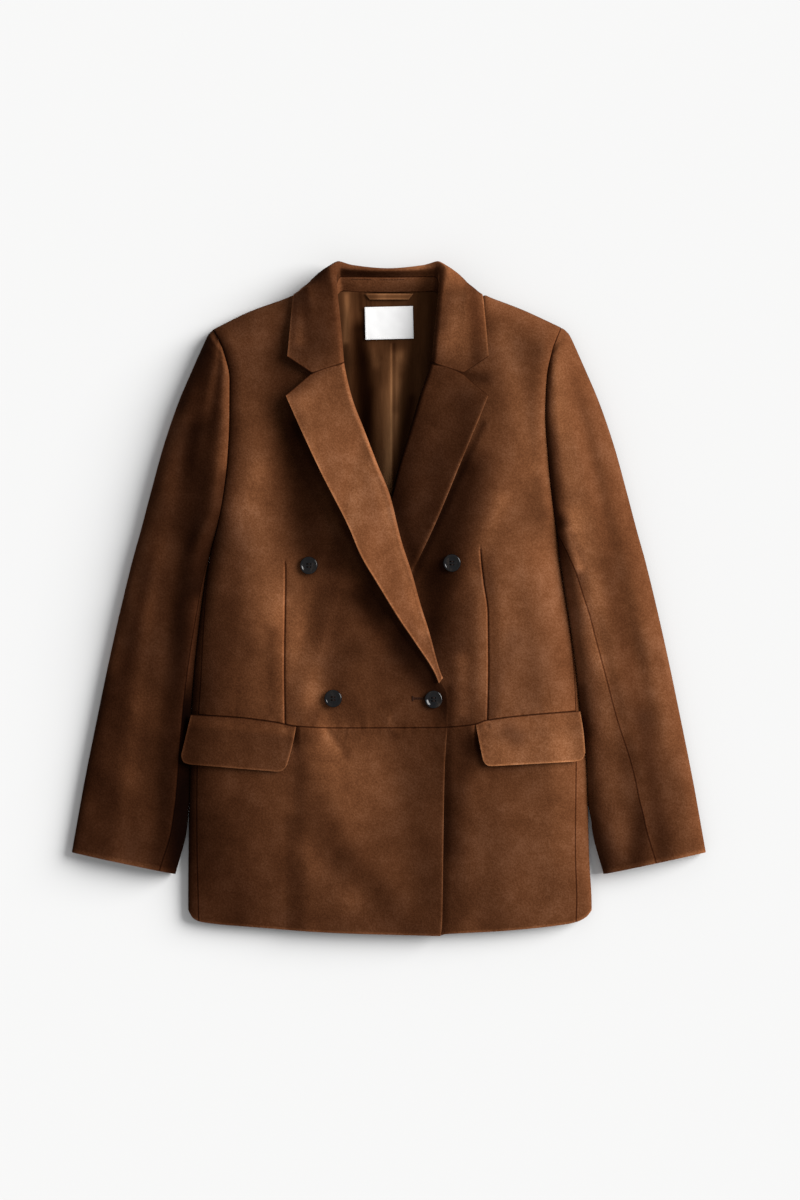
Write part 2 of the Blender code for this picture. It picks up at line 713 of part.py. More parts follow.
# Sleeves: flattened tubes. Each row is a straight line across one, from its inner side to its outer.
SleeveRow = namedtuple("SleeveRow", "s inner_x inner_y outer_x outer_y loft")
SLEEVE = [
    SleeveRow(*row)
    for row in (
        (0.00, 184.5, 279.0, 195.0, 303.5, 28),
        (0.06, 180.0, 256.0, 207.5, 286.5, 34),
        (0.12, 178.6, 232.0, 219.5, 260.0, 37),
        (0.19, 178.8, 200.0, 236.5, 220.0, 38.5),
        (0.26, 181.0, 160.0, 253.5, 170.0, 38.5),
        (0.33, 186.0, 114.0, 268.5, 115.0, 37.5),
        (0.39, 191.0, 78.0, 278.5, 77.0, 36),
        (0.45, 203.0, 41.0, 288.5, 41.0, 34.5),
        (0.60, 211.5, -50.0, 310.0, -50.0, 31),
        (0.74, 220.0, -131.0, 327.0, -131.0, 28),
        (0.87, 225.5, -217.0, 342.0, -206.0, 25.5),
        (0.93, 227.0, -255.0, 348.5, -242.0, 24),
        (1.00, 240.2, -308.5, 356.0, -284.2, 22),
    )
]
SLEEVE_AT = {name: column(SLEEVE, "s", name) for name in SleeveRow._fields[1:]}
# Where the under sleeve's front seam shows on top, as a share of the way across
FRONT_SEAM = {
    RIGHT: through([(0.41, 0), (0.46, 0.02), (0.6, 0.06), (0.74, 0.09), (1, 0.15)]),
    LEFT: through([(0.4, 0), (0.46, 0.06), (0.53, 0.18), (0.6, 0.24), (0.74, 0.35), (0.87, 0.46), (1, 0.51)]),
}
# and where its back seam is, underneath
back_seam = through([(0, 0.5), (0.12, 0.66), (0.3, 0.72), (1, 0.72)])
SLEEVE_OUTER_ROLL = 72.0
SLEEVE_INNER_ROLL = 30.0
ARMPIT_S = 0.45
SLEEVE_CLEAR = 1.3          # between a sleeve and the side it lies along
SLEEVE_WIDER = {RIGHT: 0.6, LEFT: -0.9}
SleeveFold = namedtuple("SleeveFold", "s0 across0 s1 across1 wide deep")
SLEEVE_FOLDS = {
    RIGHT: [
        SleeveFold(*row)
        for row in (
            (0.16, 0.36, 0.62, 0.26, 0.13, -4.0),
            (0.55, 0.7, 0.98, 0.62, 0.12, 1.5),
            (0.2, 0.8, 0.5, 0.72, 0.14, 1.0),
        )
    ],
    LEFT: [
        SleeveFold(*row)
        for row in (
            (0.25, 0.62, 0.6, 0.66, 0.12, -2.0),
            (0.62, 0.62, 0.9, 0.72, 0.13, -1.2),
            (0.5, 0.35, 0.8, 0.5, 0.12, 1.2),
        )
    ],
}
TOP_SLEEVE_ACROSS = (0, 0.012, 0.08, 0.16, 0.25, 0.34, 0.43, 0.52, 0.61, 0.7, 0.79, 0.89, 1)
UNDER_SLEEVE_ACROSS = (0, 0.12, 0.25, 0.38, 0.5, 0.61, 0.72, 0.83, 0.93, 0.985, 1)
SLEEVE_ALONG = (
    0, 0.04, 0.09, 0.18, 0.27, 0.35, 0.42, 0.48, 0.54, 0.6, 0.66, 0.72, 0.78, 0.84, 0.9, 0.95, 1,
)


def sleeve_fold_height(side, s, across):
    total = 0.0
    for fold in SLEEVE_FOLDS[side]:
        t = (s - fold.s0) / (fold.s1 - fold.s0)
        middle = mix(fold.across0, fold.across1, min(max(t, 0.0), 1.0))
        past = max(0.0, -t, t - 1)
        total += fold.deep * math.exp(-(((across - middle) / fold.wide) ** 2) - (past * 4) ** 2)
    return total


def sleeve_line(side, s):
    """The two ends in plan of the line across the sleeve at s, as if it were the left one."""
    inner = Vector((SLEEVE_AT["inner_x"](s), SLEEVE_AT["inner_y"](s)))
    outer = Vector((SLEEVE_AT["outer_x"](s), SLEEVE_AT["outer_y"](s)))
    beside = abs(SIDE_OF[side](inner.y)) + mix(0.5, SLEEVE_CLEAR, ease((s - ARMPIT_S + 0.01) / 0.04))
    inner.x = mix(beside, inner.x, ease((s - 0.88) / 0.05))
    outer.x = mix(abs(SIDE_OF[side](outer.y)) + 1.4, outer.x + SLEEVE_WIDER[side], ease(s / 0.05))
    return inner, outer


def sleeve_top(side, s, across):
    """The outer face on top, at a share of the way across from the inner side."""
    inner, outer = sleeve_line(side, s)
    width = (outer - inner).length
    at = inner.lerp(outer, across)
    full = SLEEVE_AT["loft"](s)
    low = min(EDGE_HEIGHT, 0.42 * full)
    seam = front_height(SIDE_OF[side](inner.y) - side * SEAM_GAP, inner.y)
    open_share = armhole_open(inner.y)
    inner_low = mix(low, seam, open_share)
    inner_roll = min(mix(SLEEVE_INNER_ROLL, ARMHOLE_CREASE, open_share), width / 2)
    outer_roll = min(SLEEVE_OUTER_ROLL, width)
    z = low + (full - low) * rounding((1 - across) * width / outer_roll)
    z -= (full - inner_low) * (1 - rounding(across * width / inner_roll))
    fade = ease(min(across, 1 - across) / 0.16)
    return at.x, at.y, z + fade * sleeve_fold_height(side, s, across)


def sleeve_under(side, s, across):
    """The outer face below: flat on the table, turning up at its closed sides."""
    inner, outer = sleeve_line(side, s)
    width = (outer - inner).length
    at = inner.lerp(outer, across)
    low = min(EDGE_HEIGHT, 0.42 * SLEEVE_AT["loft"](s))
    roll = min(UNDER_ROLL, width / 3)
    z = low * (1 - rounding((1 - across) * width / roll))
    z += low * (1 - rounding(across * width / roll)) * ease((s - ARMPIT_S + 0.03) / 0.04)
    return at.x, at.y, z


def turn_of(across):
    """Where on the ring a share of the way across, on top, is."""
    return math.acos(1 - 2 * across) / math.pi


def ring(side, s, turn):
    """The sleeve's outer face. turn 0 to 1 goes over the top to the outer side, and 1 to 2 back below."""
    turn %= 2.0
    if turn <= 1.0:
        x, y, z = sleeve_top(side, s, (1 - math.cos(math.pi * turn)) / 2)
    else:
        x, y, z = sleeve_under(side, s, (1 + math.cos(math.pi * (turn - 1))) / 2)
    return side * x, y, z


def sleeve_panel(side, turn_from, turn_to):
    """A panel between two seams of the sleeve, whose turns are functions of s. v runs up, from the cuff."""

    def point(u, v):
        s = mix(0.5, 1.0, 1 - v) * (1 - v)
        return ring(side, s, mix(turn_from(s), turn_to(s), u))

    return point


def seam_share(side, s):
    """The sleeve's seam gap as a share of the way across."""
    inner, outer = sleeve_line(side, s)
    return (1.6 + 7 * (1 - ease(s / 0.1))) * SEAM_GAP / (outer - inner).length


def top_sleeve_of(side):
    return sleeve_panel(
        side,
        lambda s: turn_of(FRONT_SEAM[side](s) + seam_share(side, s)),
        lambda s: 2 - turn_of(back_seam(s) + seam_share(side, s)),
    )


def under_sleeve_of(side):
    def end(s):
        seam = FRONT_SEAM[side](s)
        return 2 + turn_of(seam) if seam > 0 else 2 - 1e-9

    return sleeve_panel(side, lambda s: 2 - turn_of(back_seam(s)), end)


# Buttons: turned, dished and drilled with four holes. Each has its place, its side,
# and how far its shank of thread lifts it: more where the cloth is hollow under it.
BUTTONS = {
    "button_upper_right": (-89.8, 37.5, RIGHT, 0.2),
    "button_lower_right": (-62.6, -111.0, RIGHT, 0.8),
    "button_fastened": (49.0, -112.0, RIGHT, 0.2),
    "button_upper_left": (70.0, 40.3, LEFT, 0.2),
}
BUTTON_STEPS = 18
RADIUS = BUTTON_ACROSS / 2
# From the middle of the dish, over the rim and down to the middle of its back
BUTTON_PROFILE = (
    (0, BUTTON_THICK - BUTTON_DISH - 0.2),
    (RADIUS - BUTTON_RIM - 1.2, BUTTON_THICK - BUTTON_DISH),
    (RADIUS - BUTTON_RIM, BUTTON_THICK - 0.2),
    (RADIUS - 1.2, BUTTON_THICK),
    (RADIUS - 0.1, BUTTON_THICK - 0.9),
    (RADIUS - 0.3, 1.6),
    (RADIUS - 3.2, 0),
    (0, 0),
)


def button_seat(x, y, height):
    """How high the cloth holds a button's back at its middle, and the cloth's two slopes there."""
    lean_x = (height(x + RADIUS, y) - height(x - RADIUS, y)) / BUTTON_ACROSS
    lean_y = (height(x, y + RADIUS) - height(x, y - RADIUS)) / BUTTON_ACROSS
    seat = height(x, y)
    for i in range(12):
        side_x = (RADIUS - 2) * math.cos(math.tau * i / 12)
        side_y = (RADIUS - 2) * math.sin(math.tau * i / 12)
        seat = max(seat, height(x + side_x, y + side_y) - lean_x * side_x - lean_y * side_y)
    return seat + STACK_GAP, lean_x, lean_y


def button(name, x, y, side, shank):
    """A button on the cloth at x, y, tilted as the cloth is."""
    seat, lean_x, lean_y = button_seat(x, y, HEIGHT_OF[side])
    mesh = bpy.data.meshes.new(name)
    bm = bmesh.new()
    line = [bm.verts.new((r * MM, 0, z * MM)) for r, z in BUTTON_PROFILE]
    for pair in zip(line, line[1:]):
        bm.edges.new(pair)
    bm.to_mesh(mesh)
    bm.free()
    obj = bpy.data.objects.new(name, mesh)
    obj.location = Vector((x, y, seat + shank)) * MM
    obj.rotation_euler = Vector((-lean_x, -lean_y, 1)).to_track_quat("Z", "Y").to_euler()
    turn = obj.modifiers.new("Turned", "SCREW")
    turn.steps = turn.render_steps = BUTTON_STEPS
    turn.use_merge_vertices = True
    turn.merge_threshold = 0.01 * MM
    cut = obj.modifiers.new("Holes", "BOOLEAN")
    cut.operation = "DIFFERENCE"
    cut.object = drill_for(obj)
    return place(obj, horn)


def drill_for(obj):
    """Four pins that cut a button's holes."""
    bm = bmesh.new()
    for i in range(4):
        angle = math.radians(45 + 90 * i)
        pin = bmesh.ops.create_cone(
            bm,
            cap_ends=True,
            segments=6,
            radius1=HOLE_ACROSS / 2 * MM,
            radius2=HOLE_ACROSS / 2 * MM,
            depth=12 * MM,
        )
        away = Vector((math.cos(angle), math.sin(angle), 0)) * HOLE_SPREAD / math.sqrt(2) * MM
        bmesh.ops.translate(bm, verts=pin["verts"], vec=away)
    mesh = bpy.data.meshes.new(obj.name + "_drill")
    bm.to_mesh(mesh)
    bm.free()
    drill = bpy.data.objects.new(obj.name + "_drill", mesh)
    drill.parent = obj
    drill.hide_render = True
    drill.display_type = "WIRE"
    cutters.objects.link(drill)
    return drill


# Build
for old in list(bpy.data.objects):
    bpy.data.objects.remove(old, do_unlink=True)
coat = bpy.data.collections.new("double_breasted_blazer")
cutters = bpy.data.collections.new("cutters")
cutters.hide_render = True
for collection in (coat, cutters):
    bpy.context.scene.collection.children.link(collection)
suede = material("suede", (0.14, 0.055, 0.022), 0.9)
satin = material("lining_satin", (0.13, 0.06, 0.028), 0.5)
label_cloth = material("label_cloth", (0.85, 0.85, 0.85), 0.7)
horn = material("button_horn", (0.012, 0.011, 0.012), 0.25)

for side, name in ((RIGHT, "right"), (LEFT, "left")):
    from_side = side == LEFT        # these run from the side to the front edge
    to_side = side == RIGHT         # and these away from the middle
    upper = front_of(side, above_waist, shoulder_line)
    skirt = front_of(side, hem_line, below_waist)
    panel = side_panel_of(side)
    wall(name + "_upper_front", FRONT_ACROSS, UPPER_ALONG, upper, SINGLE_PLY, suede, from_side)
    wall(name + "_skirt_front", FRONT_ACROSS, SKIRT_ALONG, skirt, SINGLE_PLY, suede, from_side)
    wall(name + "_side_panel", SIDE_ACROSS, evenly(9), panel, SINGLE_PLY, suede, from_side)
    wall(name + "_flap", FLAP_ACROSS, FLAP_ALONG, flap_of(side), DOUBLE_PLY, suede, from_side)
    wall(name + "_lapel", LAPEL_ACROSS, LAPEL_ALONG, lapel_of(side), DOUBLE_PLY, suede, to_side)
    top = top_sleeve_of(side)
    under = under_sleeve_of(side)
    wall(name + "_top_sleeve", TOP_SLEEVE_ACROSS, SLEEVE_ALONG, top, SINGLE_PLY, suede, to_side)
    wall(name + "_under_sleeve", UNDER_SLEEVE_ACROSS, SLEEVE_ALONG, under, SINGLE_PLY, suede, to_side)
wall("back", BACK_ACROSS, BACK_ALONG, back, SINGLE_PLY, suede, flip=True)
wall("back_lining", LINING_ACROSS, LINING_ALONG, lining, LINING_PLY, satin)
wall("label", evenly(6), evenly(3), label, LABEL_PLY, label_cloth)
wall("hanger_loop", evenly(8), evenly(1), hanger_loop, LINING_PLY, satin)
wall("collar", COLLAR_ACROSS, COLLAR_ALONG, collar, DOUBLE_PLY, suede)
wall("collar_stand", COLLAR_ACROSS, evenly(2), collar_stand, SINGLE_PLY, suede)
for name, (x, y, side, shank) in BUTTONS.items():
    button(name, x, y, side, shank)
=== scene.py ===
# %% [markdown]
# # A double-breasted blazer in brown faux suede, laid flat
#
# This lesson dresses a coat whose solids already exist: 24 coarse cloth walls, one for each piece
# that a maker would cut. Here each wall is made again on a much finer grid, from the same tables,
# and then gets what the solids leave out: soft folds, the puckers along the waist seam, the grooves
# of the darts, the buttonhole and its thread, and the cloths themselves.
#
# The coat lies on its back. +X is to the wearer's left, +Y runs from the hem to the collar, and +Z
# is up. Tables are in millimetres, and one helper turns them into metres at the end.

# %% Load the fixed frame
import math

import bmesh
import bpy
import numpy as np
from mathutils import Matrix, Vector


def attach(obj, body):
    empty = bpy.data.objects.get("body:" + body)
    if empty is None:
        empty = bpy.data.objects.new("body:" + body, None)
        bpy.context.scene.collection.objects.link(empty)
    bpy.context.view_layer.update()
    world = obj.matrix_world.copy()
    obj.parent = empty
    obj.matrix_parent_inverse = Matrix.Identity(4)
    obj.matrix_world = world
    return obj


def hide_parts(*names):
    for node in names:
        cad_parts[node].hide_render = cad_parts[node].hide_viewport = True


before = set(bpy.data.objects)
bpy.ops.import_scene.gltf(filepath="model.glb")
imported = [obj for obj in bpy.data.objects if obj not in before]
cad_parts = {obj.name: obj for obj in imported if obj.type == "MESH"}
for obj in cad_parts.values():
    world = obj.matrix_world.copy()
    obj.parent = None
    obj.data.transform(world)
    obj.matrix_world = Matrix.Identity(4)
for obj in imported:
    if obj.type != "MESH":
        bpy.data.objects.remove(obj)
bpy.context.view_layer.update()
BODY = "root"
MM = 0.001


# %% [markdown]
# ## Curves through a few points
#
# A pattern maker draws an edge with a flexible curve through a few marks. `through` is that tool:
# it joins (at, value) pairs with cubic pieces whose slopes are chosen so that the line never
# overshoots a mark. Blender's own curve objects could do it too, but we need the answer for
# thousands of grid points at once, and numpy gives that in one call.

# %% Curve helpers
RIGHT, LEFT = SIDES = (-1, 1)       # the sign of x on the wearer's right and left


def spline(at, value, x):
    """A smooth line through (at, value), read at each x. value may have one column for each x."""
    at = np.asarray(at, float)
    value = np.asarray(value, float).reshape(len(at), -1)
    x = np.clip(np.atleast_1d(np.asarray(x, float)), at[0], at[-1])
    gap = np.diff(at)[:, None]
    rise = np.diff(value, axis=0) / gap
    before, after = rise[:-1], rise[1:]
    same_way = before * after > 0
    total = np.where(same_way, before + after, 1.0)
    inner = np.where(same_way, 2 * before * after / total, 0.0)
    slope = np.concatenate([rise[:1], inner, rise[-1:]])
    i = np.clip(np.searchsorted(at, x) - 1, 0, len(at) - 2)
    j = np.arange(len(x)) if value.shape[1] > 1 else 0
    step = gap[i, 0]
    t = (x - at[i]) / step
    climb = value[i + 1, j] - value[i, j]
    bend = (1 - t) * (slope[i, j] * step - climb) - t * (slope[i + 1, j] * step - climb)
    return value[i, j] + climb * t + t * (1 - t) * bend


def through(pairs):
    at, value = zip(*pairs)

    def curve(x):
        read = spline(at, value, np.ravel(x))
        return read.reshape(np.shape(x)) if np.ndim(x) else float(read[0])

    return curve


def curves(names, rows):
    """One curve for each name, through rows that hold the mark first and then the names' values."""
    at, *values = zip(*rows)
    return {name: through(zip(at, value)) for name, value in zip(names, values)}


def mix(a, b, t):
    return a + (b - a) * t


def ease(t):
    """0 to 1, soft at both ends."""
    t = np.clip(t, 0.0, 1.0)
    return t * t * (3 - 2 * t)


def rounding(t):
    """The height of a quarter circle: 0 at 0, upright there, and 1 from 1 on."""
    t = np.clip(t, 0.0, 1.0)
    return np.sqrt(t * (2 - t))


print("halfway between two marks:", round(through([(0, 0), (1, 1), (2, 0)])(0.5), 3))

# %% [markdown]
# ## Uneven cloth
#
# Real cloth is never quite flat. A noise texture could shake the mesh, but a sum of a few slow
# waves that cross at odd angles is smoother, cheap, and the same on each run. Layers that lie on
# each other share it, so they never cut through one another.

# %% Slow waves and seam puckers
GOLDEN = 2.399963       # the golden angle: no two of the waves run the same way
PUCKER_LENGTH = 9.0
PUCKER_REACH = 9.0


def ripple(x, y, length, seed=0.0, count=7):
    """About -1 to 1: waves of roughly this length, in mm, running in all directions."""
    total = 0.0
    for i in range(count):
        angle = GOLDEN * (i + seed)
        turns = (x * math.cos(angle) + y * math.sin(angle)) / (length * (0.75 + 0.09 * i))
        total = total + np.sin(turns * math.tau + 1.7 * i + 3.1 * seed)
    return total / math.sqrt(count * 2)


def pucker(along, away, seed):
    """Small gathers across a seam: they change along it, and die out away from it."""
    small = ripple(along, 0.35 * away, PUCKER_LENGTH, seed, 5)
    broad = ripple(along, away, 2.7 * PUCKER_LENGTH, seed + 4, 4)
    return (small + 0.6 * broad) * np.exp(-np.abs(away) / PUCKER_REACH)


print("ripple at the middle:", round(float(ripple(0.0, 0.0, 60.0)), 3))

# %% [markdown]
# ## The body of the coat
#
# Seen from above, the body is a soft dome: its front rounds over at the sides and the shoulders,
# and lies lower in the creases along the armholes. Instead of sculpting it, we write its height as
# a function of the place, so that every piece sewn to it can ask for the same height.

# %% Cloth thicknesses and how the coat lies
SINGLE_PLY = 1.8
DOUBLE_PLY = 2.4
LINING_PLY = 1.0
LABEL_PLY = 1.0
SEAM_GAP = 0.2              # beside a seam, and under a piece that lies on another
STACK_GAP = 0.5
SIDE_ROLL = 46.0            # how far in the cloth rounds over: sides, shoulders, underneath
SHOULDER_ROLL = 36.0
UNDER_ROLL = 10.0
EDGE_HEIGHT = 9.0           # the outermost line over the table, or this share of a low loft
EDGE_SHARE = 0.42
CROWN_HALF = 200.0          # how far from the middle the crown is used up
ARMPIT = 41.0               # the armhole's lower and upper end
TIP = 304.0
ARMHOLE_BLEND = 62.0        # how far up it opens, and how deep and wide its crease is
ARMHOLE_DIP = 5.0
ARMHOLE_CREASE = 15.0
COLLAR_LIFT = DOUBLE_PLY + STACK_GAP + 2.0
COLLAR_BED = 124.0          # half the width, and the foot, of what the collar lifts
COLLAR_BED_FOOT = 255.0

# How far up, then x of the right and the left side, and how high the body stands
BODY_ROWS = [
    (-380, -226.0, 227.0, 17), (-345, -226.0, 227.0, 20), (-290, -225.7, 224.2, 25),
    (-190, -223.8, 221.5, 31), (-127, -222.3, 214.0, 34), (-86, -219.5, 210.0, 36),
    (-23, -212.7, 201.5, 39), (41, -203.3, 191.5, 41), (83, -192.0, 186.0, 42),
    (114, -186.0, 182.0, 43), (156, -181.0, 178.0, 42.5), (206, -178.6, 174.5, 41),
    (245, -178.6, 176.0, 38), (277, -185.5, 182.0, 35), (304, -198.0, 192.5, 31),
    (350, -219.3, 210.4, 30),
]
SIDE_OF = curves((RIGHT, LEFT, "loft"), BODY_ROWS)
loft = SIDE_OF.pop("loft")
crown = through([(-345, 3.0), (-190, 5.0), (-60, 8.0), (40, 11.0), (140, 11.0), (245, 3.0)])
print("the body is", round(SIDE_OF[LEFT](0) - SIDE_OF[RIGHT](0)), "mm wide at the waist darts")

# %% Its outlines
shoulder_line = through([
    (-198, 302.5), (-181.5, 311), (-163.5, 319.8), (-150.5, 325.3), (-136.5, 330.3),
    (-121.5, 335.6), (-113.5, 338.4), (-106.5, 340.8), (-101, 335), (-96, 332), (-86, 336),
    (-72, 342.5), (-60, 343.6), (58, 343.6), (70, 342.5), (84, 336), (94, 332), (101, 335),
    (106.5, 340.8), (113, 338.4), (129, 332.6), (150.5, 324.2), (174, 313.5), (193, 304.5),
])
hem_line = through([
    (-227, -345), (-224.5, -352), (-219.5, -358.8), (-210, -362.5), (-154, -367.8), (-62, -374.2),
    (30, -377), (56, -377.6), (62, -376), (123, -372.5), (200, -364.5), (212, -361.5),
    (221, -356.5), (228, -348),
])
waist_line = through([
    (-224, -129), (-169, -132.2), (-129, -137.2), (-103, -142), (-64, -143.9), (57, -143.4),
    (94, -140.3), (108, -135.5), (160, -129.2), (214, -125),
])
# How far up, then x of the right and the left front's edge or, above the button, its roll line
ROLL_OF = curves(SIDES, [
    (-380, 57.0, -66.0), (-363, 58.8, -66.0), (-281, 60.0, -66.5), (-194, 61.5, -67.0),
    (-120, 65.2, -68.0), (-105, 64.4, -66.0), (-74, 54.5, -56.0), (-37, 44.5, -46.0),
    (-5, 34.5, -36.0), (26, 26.0, -27.0), (66, 13.1, -13.0), (116, 0.5, 2.0), (151, -13.5, 11.0),
    (188, -27.8, 22.2), (226, -42.0, 33.5), (264, -50.5, 45.5), (300, -54.5, 50.0),
    (350, -58.0, 56.0),
])
print("hem to shoulder at x = -100:", round(shoulder_line(-100) - hem_line(-100)), "mm")

# %% [markdown]
# ## Folds, darts and creases
#
# A fold is a line on the cloth with a width and a depth. Adding a handful of them beats any random
# noise, because a coat folds where it is pulled: from the button, under the arm, beside the
# lapels. The long bust darts are narrow grooves that begin in a point and end in the waist seam.

# %% Folds and darts
# From x and y to x and y, how wide, and how high. Below 0 it is a dip.
BODY_FOLDS = [
    (-167, 200, -150, -40, 26, 3.0), (-116, 185, -70, -130, 24, -5.0),
    (-92, -150, -48, -300, 26, 3.0), (4, 165, 36, 15, 42, -6.0), (8, -165, 26, -340, 26, -3.0),
    (60, 0, 62, -110, 24, -3.0), (108, 120, 110, -110, 32, 3.0), (112, -170, 116, -330, 40, 2.0),
]
# How far up, then x of the right and the left dart
DART_OF = curves(SIDES, [
    (-145, -116.8, 109.0), (-78, -117.6, 110.4), (-16, -116.8, 109.8), (20, -116.2, 105.0),
    (50, -116.4, 101.8), (70, -116.4, 101.0),
])
DART_TOP = {RIGHT: 47.0, LEFT: 62.0}
DART_FOOT = -146.0
DART_DEEP = 1.6         # a soft dip,
DART_WIDE = 9.0
GROOVE_DEEP = 0.9       # with the sharp groove of the seam in it
GROOVE_WIDE = 0.9
WAVE_HIGH = 0.55
WAVE_LONG = 74.0


def fold_height(folds, x, y):
    total = 0.0
    for x0, y0, x1, y1, wide, deep in folds:
        run_x, run_y = x1 - x0, y1 - y0
        length = math.hypot(run_x, run_y)
        t = ((x - x0) * run_x + (y - y0) * run_y) / length**2
        aside = ((x - x0) * run_y - (y - y0) * run_x) / length
        past = np.maximum(0.0, np.maximum(-t, t - 1)) * length
        total = total + deep * np.exp(-((aside / wide) ** 2) - (past / wide) ** 2)
    return total


def dart_aside(x, y):
    """How far a point is from its side's dart, across it."""
    return np.where(x < 0, x - DART_OF[RIGHT](y), x - DART_OF[LEFT](y))


def dart_height(x, y):
    top = np.where(x < 0, DART_TOP[RIGHT], DART_TOP[LEFT])
    fade = ease((top - y) / 60) * ease((y - DART_FOOT - 5) / 10)
    sharp = ease((top - y) / 14) * ease((y - DART_FOOT) / 3)
    aside = dart_aside(x, y)
    soft_dip = DART_DEEP * fade * np.exp(-((aside / DART_WIDE) ** 2))
    return -soft_dip - GROOVE_DEEP * sharp * np.exp(-((aside / GROOVE_WIDE) ** 2))


def edge_height(full):
    """Height of the outermost line over the table, of a body or a sleeve that stands this full."""
    return np.minimum(EDGE_HEIGHT, EDGE_SHARE * full)


def collar_lift(x, y):
    """How much the collar's fall, which lies under the back, raises the shoulders."""
    return COLLAR_LIFT * ease((COLLAR_BED - np.abs(x)) / 18) * ease((y - COLLAR_BED_FOOT) / 28)


def armhole_open(y):
    """0 below the armpit, where the body's side is closed, to 1 where it ends in the armhole."""
    return ease((y - ARMPIT) / ARMHOLE_BLEND)


def front_height(x, y):
    """Height of the front's outer face over the table."""
    low = edge_height(loft(y)) + collar_lift(x, y)
    full = loft(y) - crown(y) * (x / CROWN_HALF) ** 2
    full = full + fold_height(BODY_FOLDS, x, y) + dart_height(x, y)
    full = full + WAVE_HIGH * ripple(x, y, WAVE_LONG)
    inset = np.minimum(x - SIDE_OF[RIGHT](y), SIDE_OF[LEFT](y) - x)
    closed = rounding(inset / SIDE_ROLL)
    dip = np.minimum(0.9, ARMHOLE_DIP / (full - low))
    seamed = 1 - dip * (1 - rounding(inset / ARMHOLE_CREASE))
    side = mix(closed, seamed, armhole_open(y))
    top = rounding((shoulder_line(x) - y) / SHOULDER_ROLL)
    return low + (full - low) * side * top


print("height in the middle of the chest:", round(float(front_height(-60.0, 100.0)), 1), "mm")

# %% [markdown]
# ## Lapels and the lap of the right front
#
# A lapel is the front's own edge turned out on its roll line. It doesn't lie dead flat: it springs
# up towards its free edge. The right front laps over the left one, so its height adds a step over
# the hidden edge and over the part of the left lapel that it covers.

# %% Lapel tables and the heights of the two fronts
# How far up, then x of the right and the left lapel's free edge
LAPEL_EDGE_OF = curves(SIDES, [
    (-96, 56.0, -56.0), (-84, 51.6, -50.0), (-48, 28.8, -28.0), (-25, 13.1, -12.0),
    (19, -14.0, 19.0), (48, -31.2, 34.0), (82, -46.0, 50.0), (144, -77.5, 75.8),
    (198, -102.7, 98.4), (227, -115.5, 110.2),
])
LAPEL_RADIUS = {
    RIGHT: through([(-92, 2.7), (-40, 3.2), (60, 4.4), (200, 5.0), (264, 5.0)]),
    LEFT: through([(-40, 2.7), (90, 2.8), (130, 3.4), (200, 4.8), (264, 5.0)]),
}
LAPEL_LIFT = {
    RIGHT: through([(-96, 0.3), (-40, 4.0), (60, 10), (160, 11), (230, 6), (264, 4)]),
    LEFT: through([(-40, 0.0), (20, 0.2), (70, 2.0), (120, 7), (170, 9), (230, 5), (264, 4)]),
}
LAPEL_FOOT = {RIGHT: -88.0, LEFT: -30.0}
GORGE_UP = 264.0
PEAK_UP = 226.5
ROLL_SHARE = 0.3            # of the way across the grid: the roll
NOTCH_SHARE = 0.55          # of the way along the gorge: the notch
NOTCH_RISE = 8.0
GORGE_CLOSE = {RIGHT: 1.6, LEFT: 2.3}
LAP_STEP = SINGLE_PLY + 0.9     # how the right front rises over the left one's edge
LAP_FROM = 52.0
LAP_RUN = 28.0
LAPEL_SLACK = 1.2
DIVE_DEEP = 3.0             # how the left front dips under the right one
DIVE_WIDE = 20.0


def lapel_height(side, y, across):
    """How high a turned-out lapel's face is over its front's, lifting towards its free edge."""
    return 2 * LAPEL_RADIUS[side](y) - SINGLE_PLY + LAPEL_LIFT[side](y) * across**1.3


def right_front_height(x, y):
    """The right front's outer face: front_height, lifted by what lies under it."""
    roll = ROLL_OF[LEFT](y)
    edge = LAPEL_EDGE_OF[LEFT](y)
    across = np.clip((x - roll) / (edge - roll), 0.0, 1.0)
    lapel = lapel_height(LEFT, y, across) + LAPEL_SLACK
    beside = (1 - ease((roll - 3 - x) / 52)) * (1 - ease((x - edge - 3) / 34))
    over_lapel = beside * ease((y - LAPEL_FOOT[LEFT] + 46) / 36)
    step = LAP_STEP * ease((x - roll + LAP_FROM) / LAP_RUN)
    return front_height(x, y) + step + lapel * over_lapel


def left_front_height(x, y):
    """The left front's outer face: front_height, pressed down where it runs under the right one."""
    past_edge = np.maximum(x - ROLL_OF[RIGHT](y), 0.0)
    return front_height(x, y) - DIVE_DEEP * np.exp(-((past_edge / DIVE_WIDE) ** 2))


HEIGHT_OF = {RIGHT: right_front_height, LEFT: left_front_height}
print("the right lapel's edge stands", LAPEL_LIFT[RIGHT](160), "mm off the chest")
